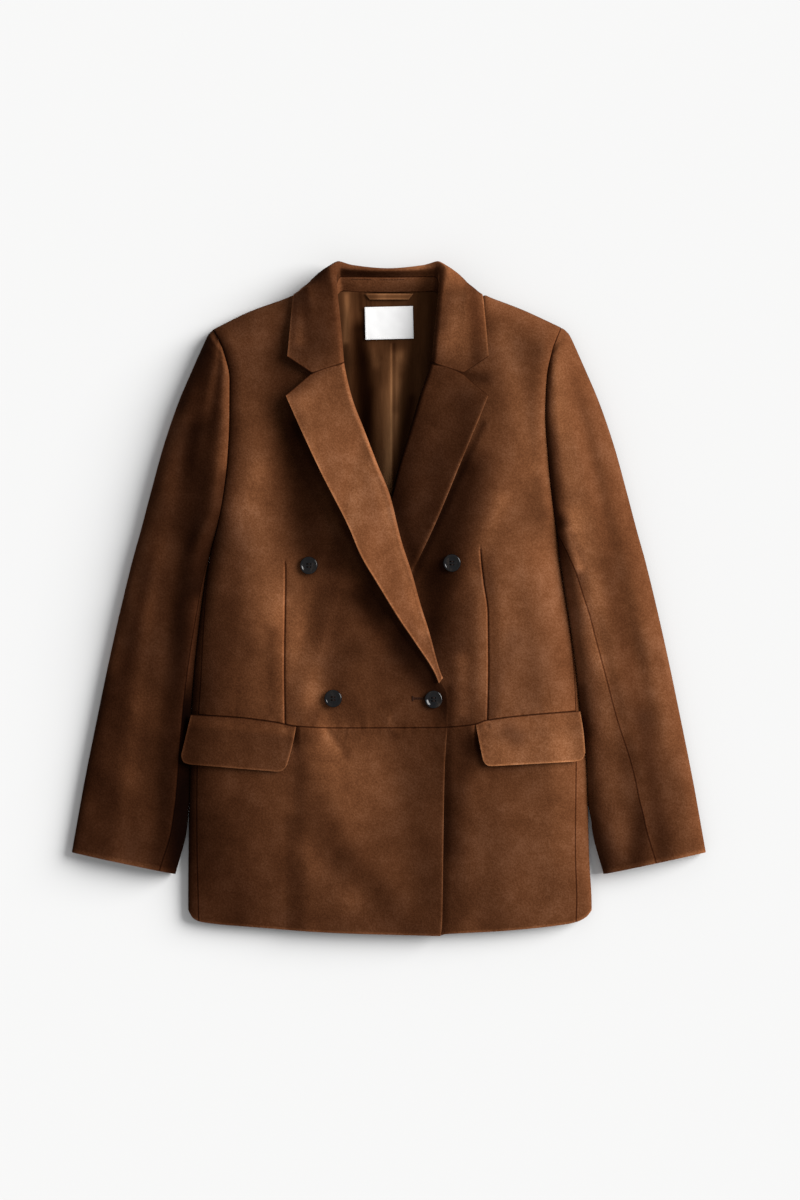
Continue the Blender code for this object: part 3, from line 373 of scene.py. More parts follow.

# %% [markdown]
# ## Painted light and shade in strokes
#
# Light and shade are painted on the cloth in strokes, written like the folds: each stroke is a
# line on the cloth with a width, and its last number says how often it doubles the tone. Below 0
# the stroke darkens. The strokes below paint shadows beside the lapels, the notch and the front's
# edge, shade along the collar's roll, light and shade in the puckers and the lining's gathers, and
# highlights along a lapel's edge and the lining's pleat. A painted texture could do it too, but it
# would need an unwrapped mesh and a picture file, and its strokes could not be moved by editing
# one row.

# %% Strokes of painted light and shade
LIGHT_AND_TONE_STROKES = {
    "body_right": [
        (-107, 196, -18, 17, 4, -0.8), (-64, -148, -46, -175, 4, -0.6),
        (-73, -146, -56, -172, 4, 0.4), (-48, -146, -47, -154, 2, -0.6),
        (-1, -146, 9, -154, 2, -0.5), (0, -131, 1, -142, 2, 0.5), (-80, -126, -84, -141, 2, -0.5),
        (-52, -126, -51, -141, 5, 0.3), (-29, -128, -28, -141, 3, -0.4),
    ],
    "body_left": [
        (86, 249, 106, 247, 8, -1.2), (105, 196, 24, 18, 4, -1.2), (67, -100, 60, -375, 5, -1.0),
    ],
    "flap_right": [],
    "flap_left": [],
    "top_sleeve_right": [],
    "under_sleeve_right": [],
    "top_sleeve_left": [],
    "under_sleeve_left": [],
    "lapel_right": [],
    "lapel_left": [
        (101, 203, 50, 84, 2, 0.7), (50, 84, 17, 19, 2, 0.7),
    ],
    "collar": [
        (-50, 366, 46, 366, 4, -0.6),
    ],
    "stand": [],
    "lining": [
        (2, 286, 2, 90, 1, 0.8), (5, 286, 5, 100, 2, -0.9), (-33, 344, -32, 325, 2, -0.8),
        (-27, 344, -25, 318, 1, -0.7), (-21, 340, -20, 300, 1, -0.6),
    ],
    "loop": [],
}
print("strokes:", {name: len(rows) for name, rows in LIGHT_AND_TONE_STROKES.items()})

# %% [markdown]
# ## Fitted strokes
#
# The rows of the next cell aren't made by hand. A fitting program worked them out, to bring the
# broad light and dark places of the cloth near a given look. They are partly painted light and
# shade, such as the shadow where each sleeve lies against the body, and partly tone of the cloth.
# That isn't how a script should come by its numbers, because nobody can say why a row is as it is.
# The coat is complete without this cell: leave it out, and the nap keeps its mottle, its painted
# slope shade and the strokes above.

# %% Broad strokes of painted light, shade and tone that a program fitted
FITTED_LIGHT_AND_TONE = {
    "body_right": [
        (-65, -195, -223, 202, 60, 1.0), (97, -158, -28, 2, 15, -2.1),
        (-101, 66, -115, 270, 27, -1.1), (-69, -52, -70, 17, 17, 1.3),
        (-164, -431, -194, -255, 26, -0.8), (-45, -334, -96, -279, 20, 1.0),
        (99, -244, -20, 42, 24, -0.8), (-218, -76, -148, 143, 15, 0.7),
        (74, -429, -46, -289, 18, -0.7), (-90, -151, -86, -130, 13, -1.3),
        (-110, -237, -111, 0, 7, 0.6), (-125, -148, -131, -38, 9, -0.8),
    ],
    "body_left": [
        (22, -80, 88, 146, 23, -1.8), (117, -81, 180, 197, 59, 0.5),
        (164, -583, 183, -139, 31, 0.6), (100, -163, 133, -170, 16, -2.2),
        (88, -390, 96, -212, 24, 0.5), (42, -314, 138, -44, 11, -0.4), (82, -125, 80, -68, 9, 1.3),
        (159, 148, 126, 295, 13, 0.6), (68, -281, 48, -150, 13, -0.9),
        (45, -134, 48, -29, 14, -1.2), (79, 6, 125, 110, 11, 0.7), (117, -140, 116, 0, 12, 0.3),
    ],
    "flap_right": [
        (-225, -201, -214, -23, 17, -1.5), (-112, -195, -118, 61, 10, 0.9),
    ],
    "flap_left": [
        (57, -178, 258, -167, 50, 1.1), (134, -148, 141, -155, 12, -1.0),
    ],
    "top_sleeve_right": [
        (-252, -301, -214, 185, 16, -2.2), (-312, -74, -234, 199, 13, 1.2),
        (-206, 198, -203, 450, 12, -0.9), (-230, -51, -188, 33, 55, -0.9),
        (-349, -389, -203, -71, 30, -0.6), (-212, 12, -179, 135, 11, -1.8),
    ],
    "under_sleeve_right": [
        (-202, 42, -229, -135, 12, -2.4), (-229, -326, -232, -131, 28, -3.6),
        (-231, -413, -223, -210, 22, -2.4),
    ],
    "top_sleeve_left": [
        (240, -147, 207, 94, 19, 1.8), (324, -375, 283, -135, 12, -1.2),
        (200, 130, 172, 283, 19, 1.2), (275, -119, 245, 45, 11, -0.5),
        (314, -159, 270, 13, 10, 0.4), (211, 36, 197, 75, 7, 2.0),
    ],
    "under_sleeve_left": [
        (198, -203, 223, 31, 40, 2.0), (255, -399, 296, -187, 13, -1.5),
        (206, -314, 184, -7, 50, 1.1), (223, -149, 215, -101, 8, -1.1),
    ],
    "lapel_right": [
        (-52, 24, -62, 327, 58, 0.6), (-76, 82, -97, 216, 13, 0.6), (-57, 42, 25, 332, 10, 0.7),
        (39, -36, -19, 148, 7, 0.6), (-107, 238, -36, 291, 10, -1.2),
    ],
    "lapel_left": [
        (-40, 21, -6, 400, 60, -2.3), (90, 167, 84, 219, 17, -0.9), (39, 5, -6, 141, 9, -1.1),
        (-15, -34, 45, 181, 14, 0.7), (33, 92, 42, 129, 9, 0.2),
    ],
    "collar": [
        (68, 293, 20, 411, 27, 1.6), (-76, 288, -72, 367, 23, -1.1), (98, 255, 89, 461, 9, -1.2),
        (-100, 288, -101, 402, 7, 1.3), (57, 306, 64, 339, 9, -0.9),
    ],
    "stand": [
        (94, 365, -31, 360, 17, 1.4),
    ],
    "lining": [
        (-8, 103, 9, 272, 9, 2.5), (-27, 166, -32, 301, 9, -3.0), (-49, 290, -48, 341, 4, 1.8),
        (-29, 21, -13, 232, 9, 0.8), (-4, 72, 25, 225, 5, -1.0), (-16, 264, -30, 298, 7, 1.1),
        (-43, 91, -19, 234, 7, -1.0), (12, 253, -3, 305, 7, -0.6), (-17, -19, 7, 205, 5, 0.8),
    ],
    "loop": [
        (0, 340, 10, 340, 60, 1.0),
    ],
}
for name, rows in FITTED_LIGHT_AND_TONE.items():
    LIGHT_AND_TONE_STROKES[name] += rows
print("fitted strokes:", sum(len(rows) for rows in FITTED_LIGHT_AND_TONE.values()))

# %% [markdown]
# ## A wall of cloth
#
# Every cloth piece here is made the same way: `bmesh.ops.create_grid` gives a flat square of
# vertices, each vertex goes to its place on the coat, Solidify gives the cloth its thickness on the
# inside, and a small Bevel rounds its raw edges, which turns each seam into a soft groove. Cloth
# could be simulated instead, but a pressed and pinned coat on a table keeps the shape it is cut to,
# and a simulation would blur the crisp lapels. The grid's columns crowd together where detail is
# fine.

# %% Spacing of the grid lines
SAMPLES = 4000


def stops(length, pitch, fine=(), fine_pitch=0.8, reach=6.0):
    """Shares from 0 to 1 of a length in mm: pitch apart, and closer beside each share in fine."""
    at = np.linspace(0, 1, SAMPLES + 1)
    near = np.zeros(SAMPLES + 1)
    for share in fine:
        near += np.exp(-(((at - share) * length / reach) ** 2))
    size = pitch + (fine_pitch - pitch) * np.minimum(near, 1)
    lines = np.concatenate([[0], np.cumsum(0.5 / size[1:] + 0.5 / size[:-1])]) * length / SAMPLES
    count = max(2, round(lines[-1]))
    return np.interp(np.linspace(0, lines[-1], count + 1), lines, at)


print("a 100 mm edge in 4 mm steps, fine at its start:", len(stops(100, 4, (0,))) - 1, "steps")

# %% Grid to wall
FAR = 99.0
LIGHT_WAY = (0.93, 0.37)      # the way to the light in plan, along which slopes get painted shade
EDGE_HIGHLIGHT = 1.1             # painted highlight: how much lighter the cloth is along a free edge
EDGE_HIGHLIGHT_WIDE = 1.5


def slope_to_light(points):
    """How steeply each grid point's face leans towards the light, from -1 to 1, for painted shade.
    """
    across = np.gradient(points, axis=0)
    along = np.gradient(points, axis=1)
    normal = np.cross(across, along)
    length = np.maximum(np.linalg.norm(normal, axis=2), 1e-9)
    upright = np.abs(normal[..., 2]) / length
    facing = np.sign(normal[..., 2]) / length
    to_light = (normal[..., 0] * LIGHT_WAY[0] + normal[..., 1] * LIGHT_WAY[1]) * facing
    return np.clip(to_light * ease(upright / 0.5), -1, 1)


def arc_lengths(points, axis):
    """The running length along a grid of points, in mm, from its start along one axis."""
    steps = np.linalg.norm(np.diff(points, axis=axis), axis=2)
    start = np.zeros_like(np.take(steps, [0], axis=axis))
    return np.concatenate([start, np.cumsum(steps, axis=axis)], axis=axis)


def border_distances(points):
    """How far each grid point is from each of the grid's four borders, along the grid's lines."""
    u = arc_lengths(points, 0)
    v = arc_lengths(points, 1)
    return {"u0": u, "u1": u[-1:, :] - u, "v0": v, "v1": v[:, -1:] - v}


def wall(
    name, across, along, point, thick, kinds, flip=False, sewn=(), round_edge=0.7, crease=None,
    strokes=(),
):
    """A cloth piece: point(u, v) gives x, y and z of its outer face.

    kinds are its outer and its inner material. sewn names the borders in a seam, and crease(x, y)
    is the distance to another line that reads as one. strokes paint light, shade and tone on it.
    """
    columns = len(across) - 1
    rows = len(along) - 1
    bm = bmesh.new()
    bmesh.ops.create_grid(bm, x_segments=columns, y_segments=rows, size=0.5)
    bm.verts.ensure_lookup_table()
    flat = np.array([vert.co[:2] for vert in bm.verts])
    iu = np.rint((flat[:, 0] + 0.5) * columns).astype(int)
    iv = np.rint((flat[:, 1] + 0.5) * rows).astype(int)
    u = np.asarray(across, float)[iu]
    v = np.asarray(along, float)[iv]
    placed = np.stack([np.broadcast_to(c, u.shape) for c in point(u, v)], axis=1)
    grid = np.zeros((columns + 1, rows + 1, 3))
    grid[iu, iv] = placed
    away = border_distances(grid)
    seam = np.full(u.shape, FAR)
    for border in sewn:
        seam = np.minimum(seam, away[border][iu, iv])
    if crease:
        seam = np.minimum(seam, crease(*placed.T[:2]))
    layers = [bm.verts.layers.float.new(kind) for kind in ("seam", "nap", "light_and_tone")]
    # nap holds painted shade: how far each face leans towards the light
    to_light = 0.5 + 0.5 * slope_to_light(grid)[iu, iv]
    free = [away[border][iu, iv] for border in away if border not in sewn]
    edge = np.min(free or [seam + FAR], axis=0)
    # A painted highlight along the free edges, carried with the strokes
    edge_highlight = EDGE_HIGHLIGHT * np.exp(-((edge / EDGE_HIGHLIGHT_WIDE) ** 2))
    light_and_tone = 2 ** (fold_height(strokes, *placed.T[:2]) + edge_highlight)
    for vert, place, values in zip(bm.verts, placed * MM, zip(seam, to_light, light_and_tone)):
        vert.co = place
        for layer, value in zip(layers, values):
            vert[layer] = value
    if flip:
        bmesh.ops.reverse_faces(bm, faces=bm.faces)
    obj = object_from(bm, name, kinds)
    obj.data.shade_smooth()
    finish_wall(obj, thick, round_edge, len(kinds) - 1)
    return obj


def object_from(bm, name, materials):
    """Turns a bmesh into an object at the origin, with its place in its mesh."""
    mesh = bpy.data.meshes.new(name)
    bm.to_mesh(mesh)
    bm.free()
    for material in materials:
        mesh.materials.append(material)
    obj = bpy.data.objects.new(name, mesh)
    bpy.context.scene.collection.objects.link(obj)
    return obj


def finish_wall(obj, thick, round_edge, inner):
    """Thickness and rounded edges. inner is the material index of the inner face."""
    solidify = obj.modifiers.new("Cloth", "SOLIDIFY")
    solidify.thickness = thick * MM
    solidify.offset = -1.0
    solidify.use_even_offset = True
    solidify.material_offset = inner
    if round_edge:
        round_off(obj, "Raw edge", round_edge, 3, 55)


def round_off(obj, name, width, segments, angle):
    """Rounds the edges that are sharper than the angle."""
    bevel = obj.modifiers.new(name, "BEVEL")
    bevel.width = width * MM
    bevel.segments = segments
    bevel.limit_method = "ANGLE"
    bevel.angle_limit = math.radians(angle)


print("wall() makes a piece from a grid, a place function and a thickness")

# %% [markdown]
# ## The cloths
#
# Faux suede is a short nap brushed on a woven base. The colour mixes four scales of noise, from
# patches as wide as a hand down to the grain of the hairs, and the bump has two. The patterns read
# Object coordinates, so no panel needs a UV map.
#
# Three attributes of the grid do the rest. "nap" is painted shade: it says how steeply the cloth
# leans towards the light, so a slope that leans to the light shows its full colour, and one that
# leans away goes dark. A sheen could do that too, but it follows the camera, and this follows the
# light. Another attribute holds the strokes of painted light, shade and tone. "seam" is the
# distance to the nearest sewn edge: painted shade in the groove, then a painted highlight on the
# ridge beside it.

# %% Node helpers
def new_material(name, **settings):
    """A material, its nodes and its shader. The settings are inputs of the shader."""
    made = bpy.data.materials.new(name)
    made.use_nodes = True
    shader = made.node_tree.nodes["Principled BSDF"]
    for key, value in settings.items():
        shader.inputs[key.replace("_", " ")].default_value = value
    return made, made.node_tree, shader


def add(tree, kind, **settings):
    node = tree.nodes.new(kind)
    for key, value in settings.items():
        if hasattr(node, key):
            setattr(node, key, value)
        else:
            node.inputs[key].default_value = value
    return node


def plug(tree, value, socket):
    """Links a value to a socket, or writes it there if it is a plain number."""
    if isinstance(value, (int, float)):
        socket.default_value = value
    else:
        tree.links.new(value, socket)


def object_coordinates(tree):
    return add(tree, "ShaderNodeTexCoord").outputs["Object"]


def attribute(tree, name):
    return add(tree, "ShaderNodeAttribute", attribute_name=name).outputs["Fac"]


def noise(tree, where, scale, detail, rough=0.5, stretch=None):
    """A noise in cycles per metre. stretch scales the axes, so it can run along one of them."""
    if stretch:
        mapping = add(tree, "ShaderNodeMapping", Scale=stretch)
        tree.links.new(where, mapping.inputs["Vector"])
        where = mapping.outputs["Vector"]
    node = add(tree, "ShaderNodeTexNoise", Scale=scale, Detail=detail, Roughness=rough)
    tree.links.new(where, node.inputs["Vector"])
    return node.outputs["Fac"]


def ramp(tree, value, marks):
    """value through a colour ramp. A mark is (at, colour), or (at, number) for a grey."""
    node = add(tree, "ShaderNodeValToRGB")
    elements = node.color_ramp.elements
    while len(elements) < len(marks):
        elements.new(0.5)
    for element, (at, colour) in zip(elements, marks):
        element.position = at
        element.color = (*(colour if isinstance(colour, tuple) else (colour,) * 3), 1.0)
    tree.links.new(value, node.inputs["Fac"])
    return node.outputs["Color"]


def multiply(tree, a, b):
    node = add(tree, "ShaderNodeMix", data_type="RGBA", blend_type="MULTIPLY")
    node.inputs[0].default_value = 1.0
    tree.links.new(a, node.inputs[6])
    tree.links.new(b, node.inputs[7])
    return node.outputs[2]


def math_node(tree, operation, *values):
    node = add(tree, "ShaderNodeMath", operation=operation)
    for value, socket in zip(values, node.inputs):
        plug(tree, value, socket)
    return node.outputs[0]


def weigh(tree, *parts):
    """The sum of (value, share) parts."""
    so_far = 0.0
    for value, share in parts:
        so_far = math_node(tree, "MULTIPLY_ADD", value, share, so_far)
    return so_far


def bump(tree, shader, heights):
    """heights: (value, strength, distance in mm), laid over each other."""
    below = None
    for value, strength, distance in heights:
        node = add(tree, "ShaderNodeBump", Strength=strength, Distance=distance * MM)
        tree.links.new(value, node.inputs["Height"])
        if below:
            tree.links.new(below, node.inputs["Normal"])
        below = node.outputs["Normal"]
    tree.links.new(below, shader.inputs["Normal"])


print("helpers for procedural materials are ready")

# %% Faux suede
SUEDE = (0.148, 0.0520, 0.0198)
SUEDE_PALE = (0.232, 0.0950, 0.0450)
SUEDE_DARK = (0.078, 0.0248, 0.0090)
# Patches, mottle, speckle and grain: scale, detail, roughness, from, to, and share of the colour
SUEDE_LAYERS = [
    (9.0, 3.0, 0.55, 0.36, 0.66, 0.2), (46.0, 4.0, 0.62, 0.33, 0.68, 0.24),
    (500.0, 3.0, 0.6, 0.36, 0.64, 0.24), (1150.0, 2.0, 0.6, 0.34, 0.66, 0.16),
]
# Painted shade and highlight by the distance to a seam, in cm: dark in its groove, light beside it
SEAM_SHADE_AND_HIGHLIGHT = [
    (0.0, (0.33, 0.27, 0.25)), (0.05, (0.42, 0.37, 0.35)), (0.13, (0.9, 0.89, 0.88)),
    (0.28, 0.78),
]
# Painted shade: the share of its colour that the cloth shows by its slope, low away from the light
SLOPE_SHADE_TONES = [
    (0.20, (0.16, 0.14, 0.14)), (0.34, (0.30, 0.27, 0.27)), (0.44, (0.44, 0.42, 0.42)),
    (0.5, (0.56, 0.55, 0.55)), (0.56, 0.72), (0.66, 0.9), (0.8, 1.0),
]
STROKE_TINT = (1.0, 1.09, 1.13)     # how strongly a stroke works on red, green and blue


def paint_light_and_tone(tree, colour):
    """The colour with strokes of painted light, shade and tone on it. The dark is also redder."""
    light_and_tone = attribute(tree, "light_and_tone")
    tint = add(tree, "ShaderNodeCombineColor")
    for socket, power in zip(tint.inputs, STROKE_TINT):
        plug(tree, math_node(tree, "POWER", light_and_tone, power), socket)
    return multiply(tree, colour, tint.outputs["Color"])


def suede_material(name):
    made, tree, shader = new_material(
        name, Roughness=0.85, Specular_IOR_Level=0.01, Sheen_Weight=0.015, Sheen_Roughness=0.45,
        Sheen_Tint=(0.8, 0.4, 0.2, 1.0),
    )
    where = object_coordinates(tree)
    layers = [
        ramp(tree, noise(tree, where, scale, detail, rough), [(low, 0.0), (high, 1.0)])
        for scale, detail, rough, low, high, _ in SUEDE_LAYERS
    ]
    shade = weigh(tree, *zip(layers, (row[-1] for row in SUEDE_LAYERS)))
    colour = ramp(tree, shade, [(0.04, SUEDE_DARK), (0.42, SUEDE), (0.8, SUEDE_PALE)])
    # Painted shade: faces that lean away from the light go dark, those that lean towards it light
    colour = multiply(tree, colour, ramp(tree, attribute(tree, "nap"), SLOPE_SHADE_TONES))
    # The strokes of painted light, shade and tone, with the painted highlight on free edges
    colour = paint_light_and_tone(tree, colour)
    # Painted shade in the grooves of the seams and darts, and a painted highlight on the ridge
    # beside
    seam = math_node(tree, "DIVIDE", attribute(tree, "seam"), 10.0)
    plug(tree, multiply(tree, colour, ramp(tree, seam, SEAM_SHADE_AND_HIGHLIGHT)), shader.inputs["Base Color"])
    bump(tree, shader, [(layers[1], 0.35, 0.5), (layers[2], 0.5, 0.25)])
    return made


SUEDES = suede_material("Suede_nap")
print("suede:", SUEDES.name)

# %% [markdown]
# ## Lining, label and horn
#
# The lining is a polyester satin, whose threads run up and down. A noise that is stretched along Y
# gives the threads and the soft watery streaks. The streaks stand in for its gloss: a mirrored
# light would glare in so small a piece. The label is a tight white weave: two wave textures at
# right angles. Horn is nearly black, with brown clouds and a polish, so its roughness is low.

# %% Satin, label and horn
def satin_material(name, colour, pale):
    made, tree, shader = new_material(name, Roughness=0.42, Specular_IOR_Level=0.0)
    where = object_coordinates(tree)
    streak = noise(tree, where, 60.0, 3.0, 0.55, (1.0, 0.09, 1.0))
    thread = noise(tree, where, 900.0, 2.0, 0.6, (1.0, 0.06, 1.0))
    toned = ramp(tree, weigh(tree, (streak, 0.7), (thread, 0.3)), [(0.3, colour), (0.7, pale)])
    # Strokes of painted light and shade on the lining: its pleat, its gathers and broad folds
    plug(tree, paint_light_and_tone(tree, toned), shader.inputs["Base Color"])
    bump(tree, shader, [(streak, 0.12, 0.6), (thread, 0.25, 0.06)])
    return made


def label_material(name):
    made, tree, shader = new_material(name, Roughness=0.65, Sheen_Weight=0.15)
    where = object_coordinates(tree)
    waves = [
        add(tree, "ShaderNodeTexWave", bands_direction=way, Scale=340.0, Distortion=1.0)
        for way in "YX"
    ]
    for wave in waves:
        tree.links.new(where, wave.inputs["Vector"])
    weave = math_node(tree, "MULTIPLY", *(wave.outputs["Fac"] for wave in waves))
    cloud = noise(tree, where, 80.0, 3.0)
    whites = [(0.2, (0.82, 0.815, 0.815)), (0.7, (0.87, 0.865, 0.865))]
    colour = ramp(tree, weigh(tree, (weave, 0.35), (cloud, 0.65)), whites)
    plug(tree, colour, shader.inputs["Base Color"])
    bump(tree, shader, [(cloud, 0.12, 0.6), (weave, 0.12, 0.06)])
    return made


def horn_material(name):
    made, tree, shader = new_material(name, Specular_IOR_Level=0.3)
    where = object_coordinates(tree)
    cloud = noise(tree, where, 130.0, 4.0, 0.6, (1.0, 0.35, 1.0))
    fleck = noise(tree, where, 700.0, 2.0)
    browns = [
        (0.42, (0.002, 0.002, 0.003)), (0.58, (0.006, 0.005, 0.005)),
        (0.72, (0.035, 0.024, 0.018)),
    ]
    colour = ramp(tree, weigh(tree, (cloud, 0.8), (fleck, 0.2)), browns)
    plug(tree, colour, shader.inputs["Base Color"])
    plug(tree, ramp(tree, cloud, [(0.3, 0.07), (0.7, 0.14)]), shader.inputs["Roughness"])
    bump(tree, shader, [(fleck, 0.08, 0.08)])
    return made


def thread_material(name, colour):
    made, tree, shader = new_material(name, Roughness=0.8, Specular_IOR_Level=0.1)
    twist = noise(tree, object_coordinates(tree), 1600.0, 2.0, 0.6, (1.0, 0.5, 1.0))
    tones = [(0.3, tuple(0.6 * c for c in colour)), (0.7, colour)]
    plug(tree, ramp(tree, twist, tones), shader.inputs["Base Color"])
    bump(tree, shader, [(twist, 0.4, 0.1)])
    return made


SATIN = satin_material("Lining_satin", (0.036, 0.0125, 0.0045), (0.075, 0.030, 0.012))
LABEL_CLOTH = label_material("Label_weave")
HORN = horn_material("Button_horn")
DARK_THREAD = thread_material("Dark_thread", (0.02, 0.012, 0.01))
BROWN_THREAD = thread_material("Brown_thread", (0.035, 0.012, 0.006))
WHITE_THREAD = thread_material("White_thread", (0.86, 0.86, 0.84))
finishes = (SATIN, LABEL_CLOTH, HORN, DARK_THREAD, BROWN_THREAD, WHITE_THREAD)
print("finishes:", [finish.name for finish in finishes])

# %% [markdown]
#
# Every finished piece rides on the coat's one body and stands in for its solid, which is hidden.


def declare(obj, node):
    """Puts a piece on the coat's body, and hides the solid that it stands in for."""
    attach(obj, BODY)
    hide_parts(node)


# %% [markdown]
# ## The fronts
#
# Each front is cut in an upper front and a skirt, joined in a waist seam under the bottom button. A
# plan gives the place of each grid point between four borders, and the height function lifts it.
# One column of the grid runs down the dart, so its groove stays crisp with few cells. The skirt
# starts lower under the flap, because the flap is sewn into the same seam.

# %% Plans between borders
SIDE_SEAM_INSET = {
    RIGHT: through([
        (-380, 12), (-345, 11.5), (-270, 9.5), (-194, 8.2), (-105, 8.6), (-27, 5), (10, 2.6),
        (41, 0.8), (50, 0),
    ]),
    LEFT: through([
        (-380, 18), (-345, 17), (-194, 12.5), (-123, 4.6), (-64, 1.8), (-18, 0.6), (41, 0.6),
        (50, 0),
    ]),
}
LAST_BUTTON = -104
NECK_CLEAR = through([
    (LAST_BUTTON, 0.6), (-88, 0.9), (100, 1.5), (250, 1.5), (262, 3.5), (275, 5.5), (345, 6.8),
])
DART_SHARE = 0.38       # of the way across the grid, where the column on the dart is


def side_seam(side, y):
    """Where the front meets the side panel or, above the armpit, the sleeve."""
    return SIDE_OF[side](np.minimum(y, TIP)) - side * (SIDE_SEAM_INSET[side](y) + SEAM_GAP)


def front_edge(side, y):
    """The front's free edge. Above the last button it stays inside the roll."""
    inside = 1.08 * LAPEL_RADIUS[side](y) * ease((y - LAST_BUTTON) / 14) + NECK_CLEAR(y)
    return ROLL_OF[side](y) + np.where(y <= LAST_BUTTON, 0.0, side * inside)


def between(x_from, x_to, y_from, y_to, x_middle=None, middle=0.5):
    """plan(u, v): a point between four borders. u = middle can follow a line of its own."""

    def plan(u, v):
        x = np.zeros_like(u)
        y = mix(y_from(x), y_to(x), v)
        for _ in range(7):
            a, b = x_from(y), x_to(y)
            if x_middle:
                m = x_middle(y)
                beyond = mix(m, b, (u - middle) / (1 - middle))
                x = np.where(u < middle, mix(a, m, u / middle), beyond)
            else:
                x = mix(a, b, u)
            y = mix(y_from(x), y_to(x), v)
        return x, y

    return plan


def above_waist(x):
    return waist_line(x) + SEAM_GAP / 2


def below_waist(x):
    return waist_line(x) - SEAM_GAP / 2


print("the left side seam at the waist is at x =", round(float(side_seam(LEFT, -125.0)), 1))

# %% Flap tables, shared by the skirt under them
# How far up the flap, then its end at the side and its end at the front
FLAP_ENDS = ("side_x", "side_y", "front_x", "front_y")
FLAP_AT = {
    RIGHT: curves(FLAP_ENDS, [
        (0.0, -235.0, -184, -117.0, -193.5), (0.5, -228.2, -155, -109.5, -166),
        (1.0, -222, -130.5, -104.5, -142.5),
    ]),
    LEFT: curves(FLAP_ENDS, [
        (0.0, 219.5, -181, 106.0, -187), (0.5, 217.5, -153, 101.0, -163),
        (1.0, 213.5, -126.5, 96.5, -140.5),
    ]),
}
FLAP_INSET = 18.0
FLAP_LIFT = 2.0
FLAP_BEND = 12.0
FLAP_BED = 3.0          # how much the skirt is pressed down where the flap is sewn in
CORNER_UP = 0.16        # how far up the flap its two rounded corners reach
flap_corner = through([
    (0, CORNER_UP), (0.02, 0.07), (0.05, 0.02), (0.12, 0), (0.92, 0), (0.955, 0.012),
    (0.982, 0.05), (1, 0.14),
])


def flap_bed(side, x, y):
    """1 at the flap's stretch of the waist seam, fading down the skirt and past the flap's end."""
    front = FLAP_AT[side]["front_x"](1.0)
    across = ease((side * (x - front) + 3) / 5)
    return across * ease((y - waist_line(x) + 40) / 38)


def skirt_height(side):
    height = HEIGHT_OF[side]

    def lowered(x, y):
        return height(x, y) - FLAP_BED * flap_bed(side, x, y)

    return lowered


print("a flap is", round(FLAP_AT[LEFT]["side_x"](0.5) - FLAP_AT[LEFT]["front_x"](0.5)), "mm wide")

# %% Upper fronts and skirts
PUCKER = 0.28


def front_of(side, y_from, y_to, height):
    plan = between(
        lambda y: side_seam(side, y), lambda y: front_edge(side, y), y_from, y_to,
        DART_OF[side], DART_SHARE,
    )

    def point(u, v):
        x, y = plan(u, v)
        return x, y, height(x, y) + PUCKER * pucker(x, y - waist_line(x), 2.0 + side)

    return point


def dart_crease(side):
    def crease(x, y):
        aside = np.abs(x - DART_OF[side](y))
        return aside + np.where((y < DART_TOP[side] - 4) & (y > DART_FOOT), 0.0, FAR)

    return crease


ACROSS_FRONT = stops(285, 3.3, (0, DART_SHARE, 1), 0.55, 4.0)
UPPER_ALONG = stops(470, 3.3, (0, 1), 0.55, 3.5)
SKIRT_ALONG = stops(232, 3.3, (1,), 0.55, 3.5)
SHELL = (SUEDES, SATIN)     # the outer and the inner face of a single ply
NAMES = {RIGHT: "right", LEFT: "left"}

for side, name in NAMES.items():
    upper = front_of(side, above_waist, shoulder_line, HEIGHT_OF[side])
    skirt = front_of(side, hem_line, below_waist, skirt_height(side))
    obj = wall(
        "Upper_front_" + name, ACROSS_FRONT, UPPER_ALONG, upper, SINGLE_PLY, SHELL, side == LEFT,
        sewn=("u0", "v0", "v1"), crease=dart_crease(side), strokes=LIGHT_AND_TONE_STROKES["body_" + name],
    )
    declare(obj, name + "_upper_front")
    obj = wall(
        "Skirt_front_" + name, ACROSS_FRONT, SKIRT_ALONG, skirt, SINGLE_PLY, SHELL, side == LEFT,
        sewn=("u0", "v1"), strokes=LIGHT_AND_TONE_STROKES["body_" + name],
    )
    declare(obj, name + "_skirt_front")

# %% [markdown]
# ## Side panels and back
#
# A side panel wraps the body from the back's seam, on the table, round to the front's seam. In the
# flat pattern it is a plain strip. Its rows are built in three stretches: flat below, a quarter
# circle round the side, and then the front's own height. The back lies flat on the table, and only
# turns up at the shoulders.

# %% Side panels
BACK_SEAM_INSET = through([(-380, 46), (-200, 44), (-80, 32), (ARMPIT, 13)])
SIDE_UNDER = 0.3        # the share that lies on the table, and where the turn upwards ends
SIDE_TURNED = 0.6
SIDE_FOOT = -352
SIDE_HEM_UP = 3.0       # how far the part underneath is cut back at the hem


def side_panel_of(side):
    def point(u, v):
        y = mix(SIDE_FOOT, ARMPIT - SEAM_GAP, v)
        under = u < SIDE_UNDER
        turned = u < SIDE_TURNED
        turn = math.pi / 2 * np.clip((u - SIDE_UNDER) / (SIDE_TURNED - SIDE_UNDER), 0, 1)
        on_top = np.maximum((u - SIDE_TURNED) / (1 - SIDE_TURNED), 0)
        for _ in range(5):
            low = edge_height(loft(y))
            below = mix(BACK_SEAM_INSET(y), UNDER_ROLL, np.minimum(u / SIDE_UNDER, 1))
            above = (SIDE_SEAM_INSET[side](y) + SEAM_GAP / 2) * on_top**2
            inset = np.where(under, below, np.where(turned, UNDER_ROLL * (1 - np.sin(turn)), above))
            x = SIDE_OF[side](y) - side * inset
            y = mix(hem_line(x) + np.where(turned, SIDE_HEM_UP, 0.0), ARMPIT - SEAM_GAP, v)
        z = np.where(turned, low * (1 - np.cos(turn)), front_height(x, y))
        return x, y, z

    return point


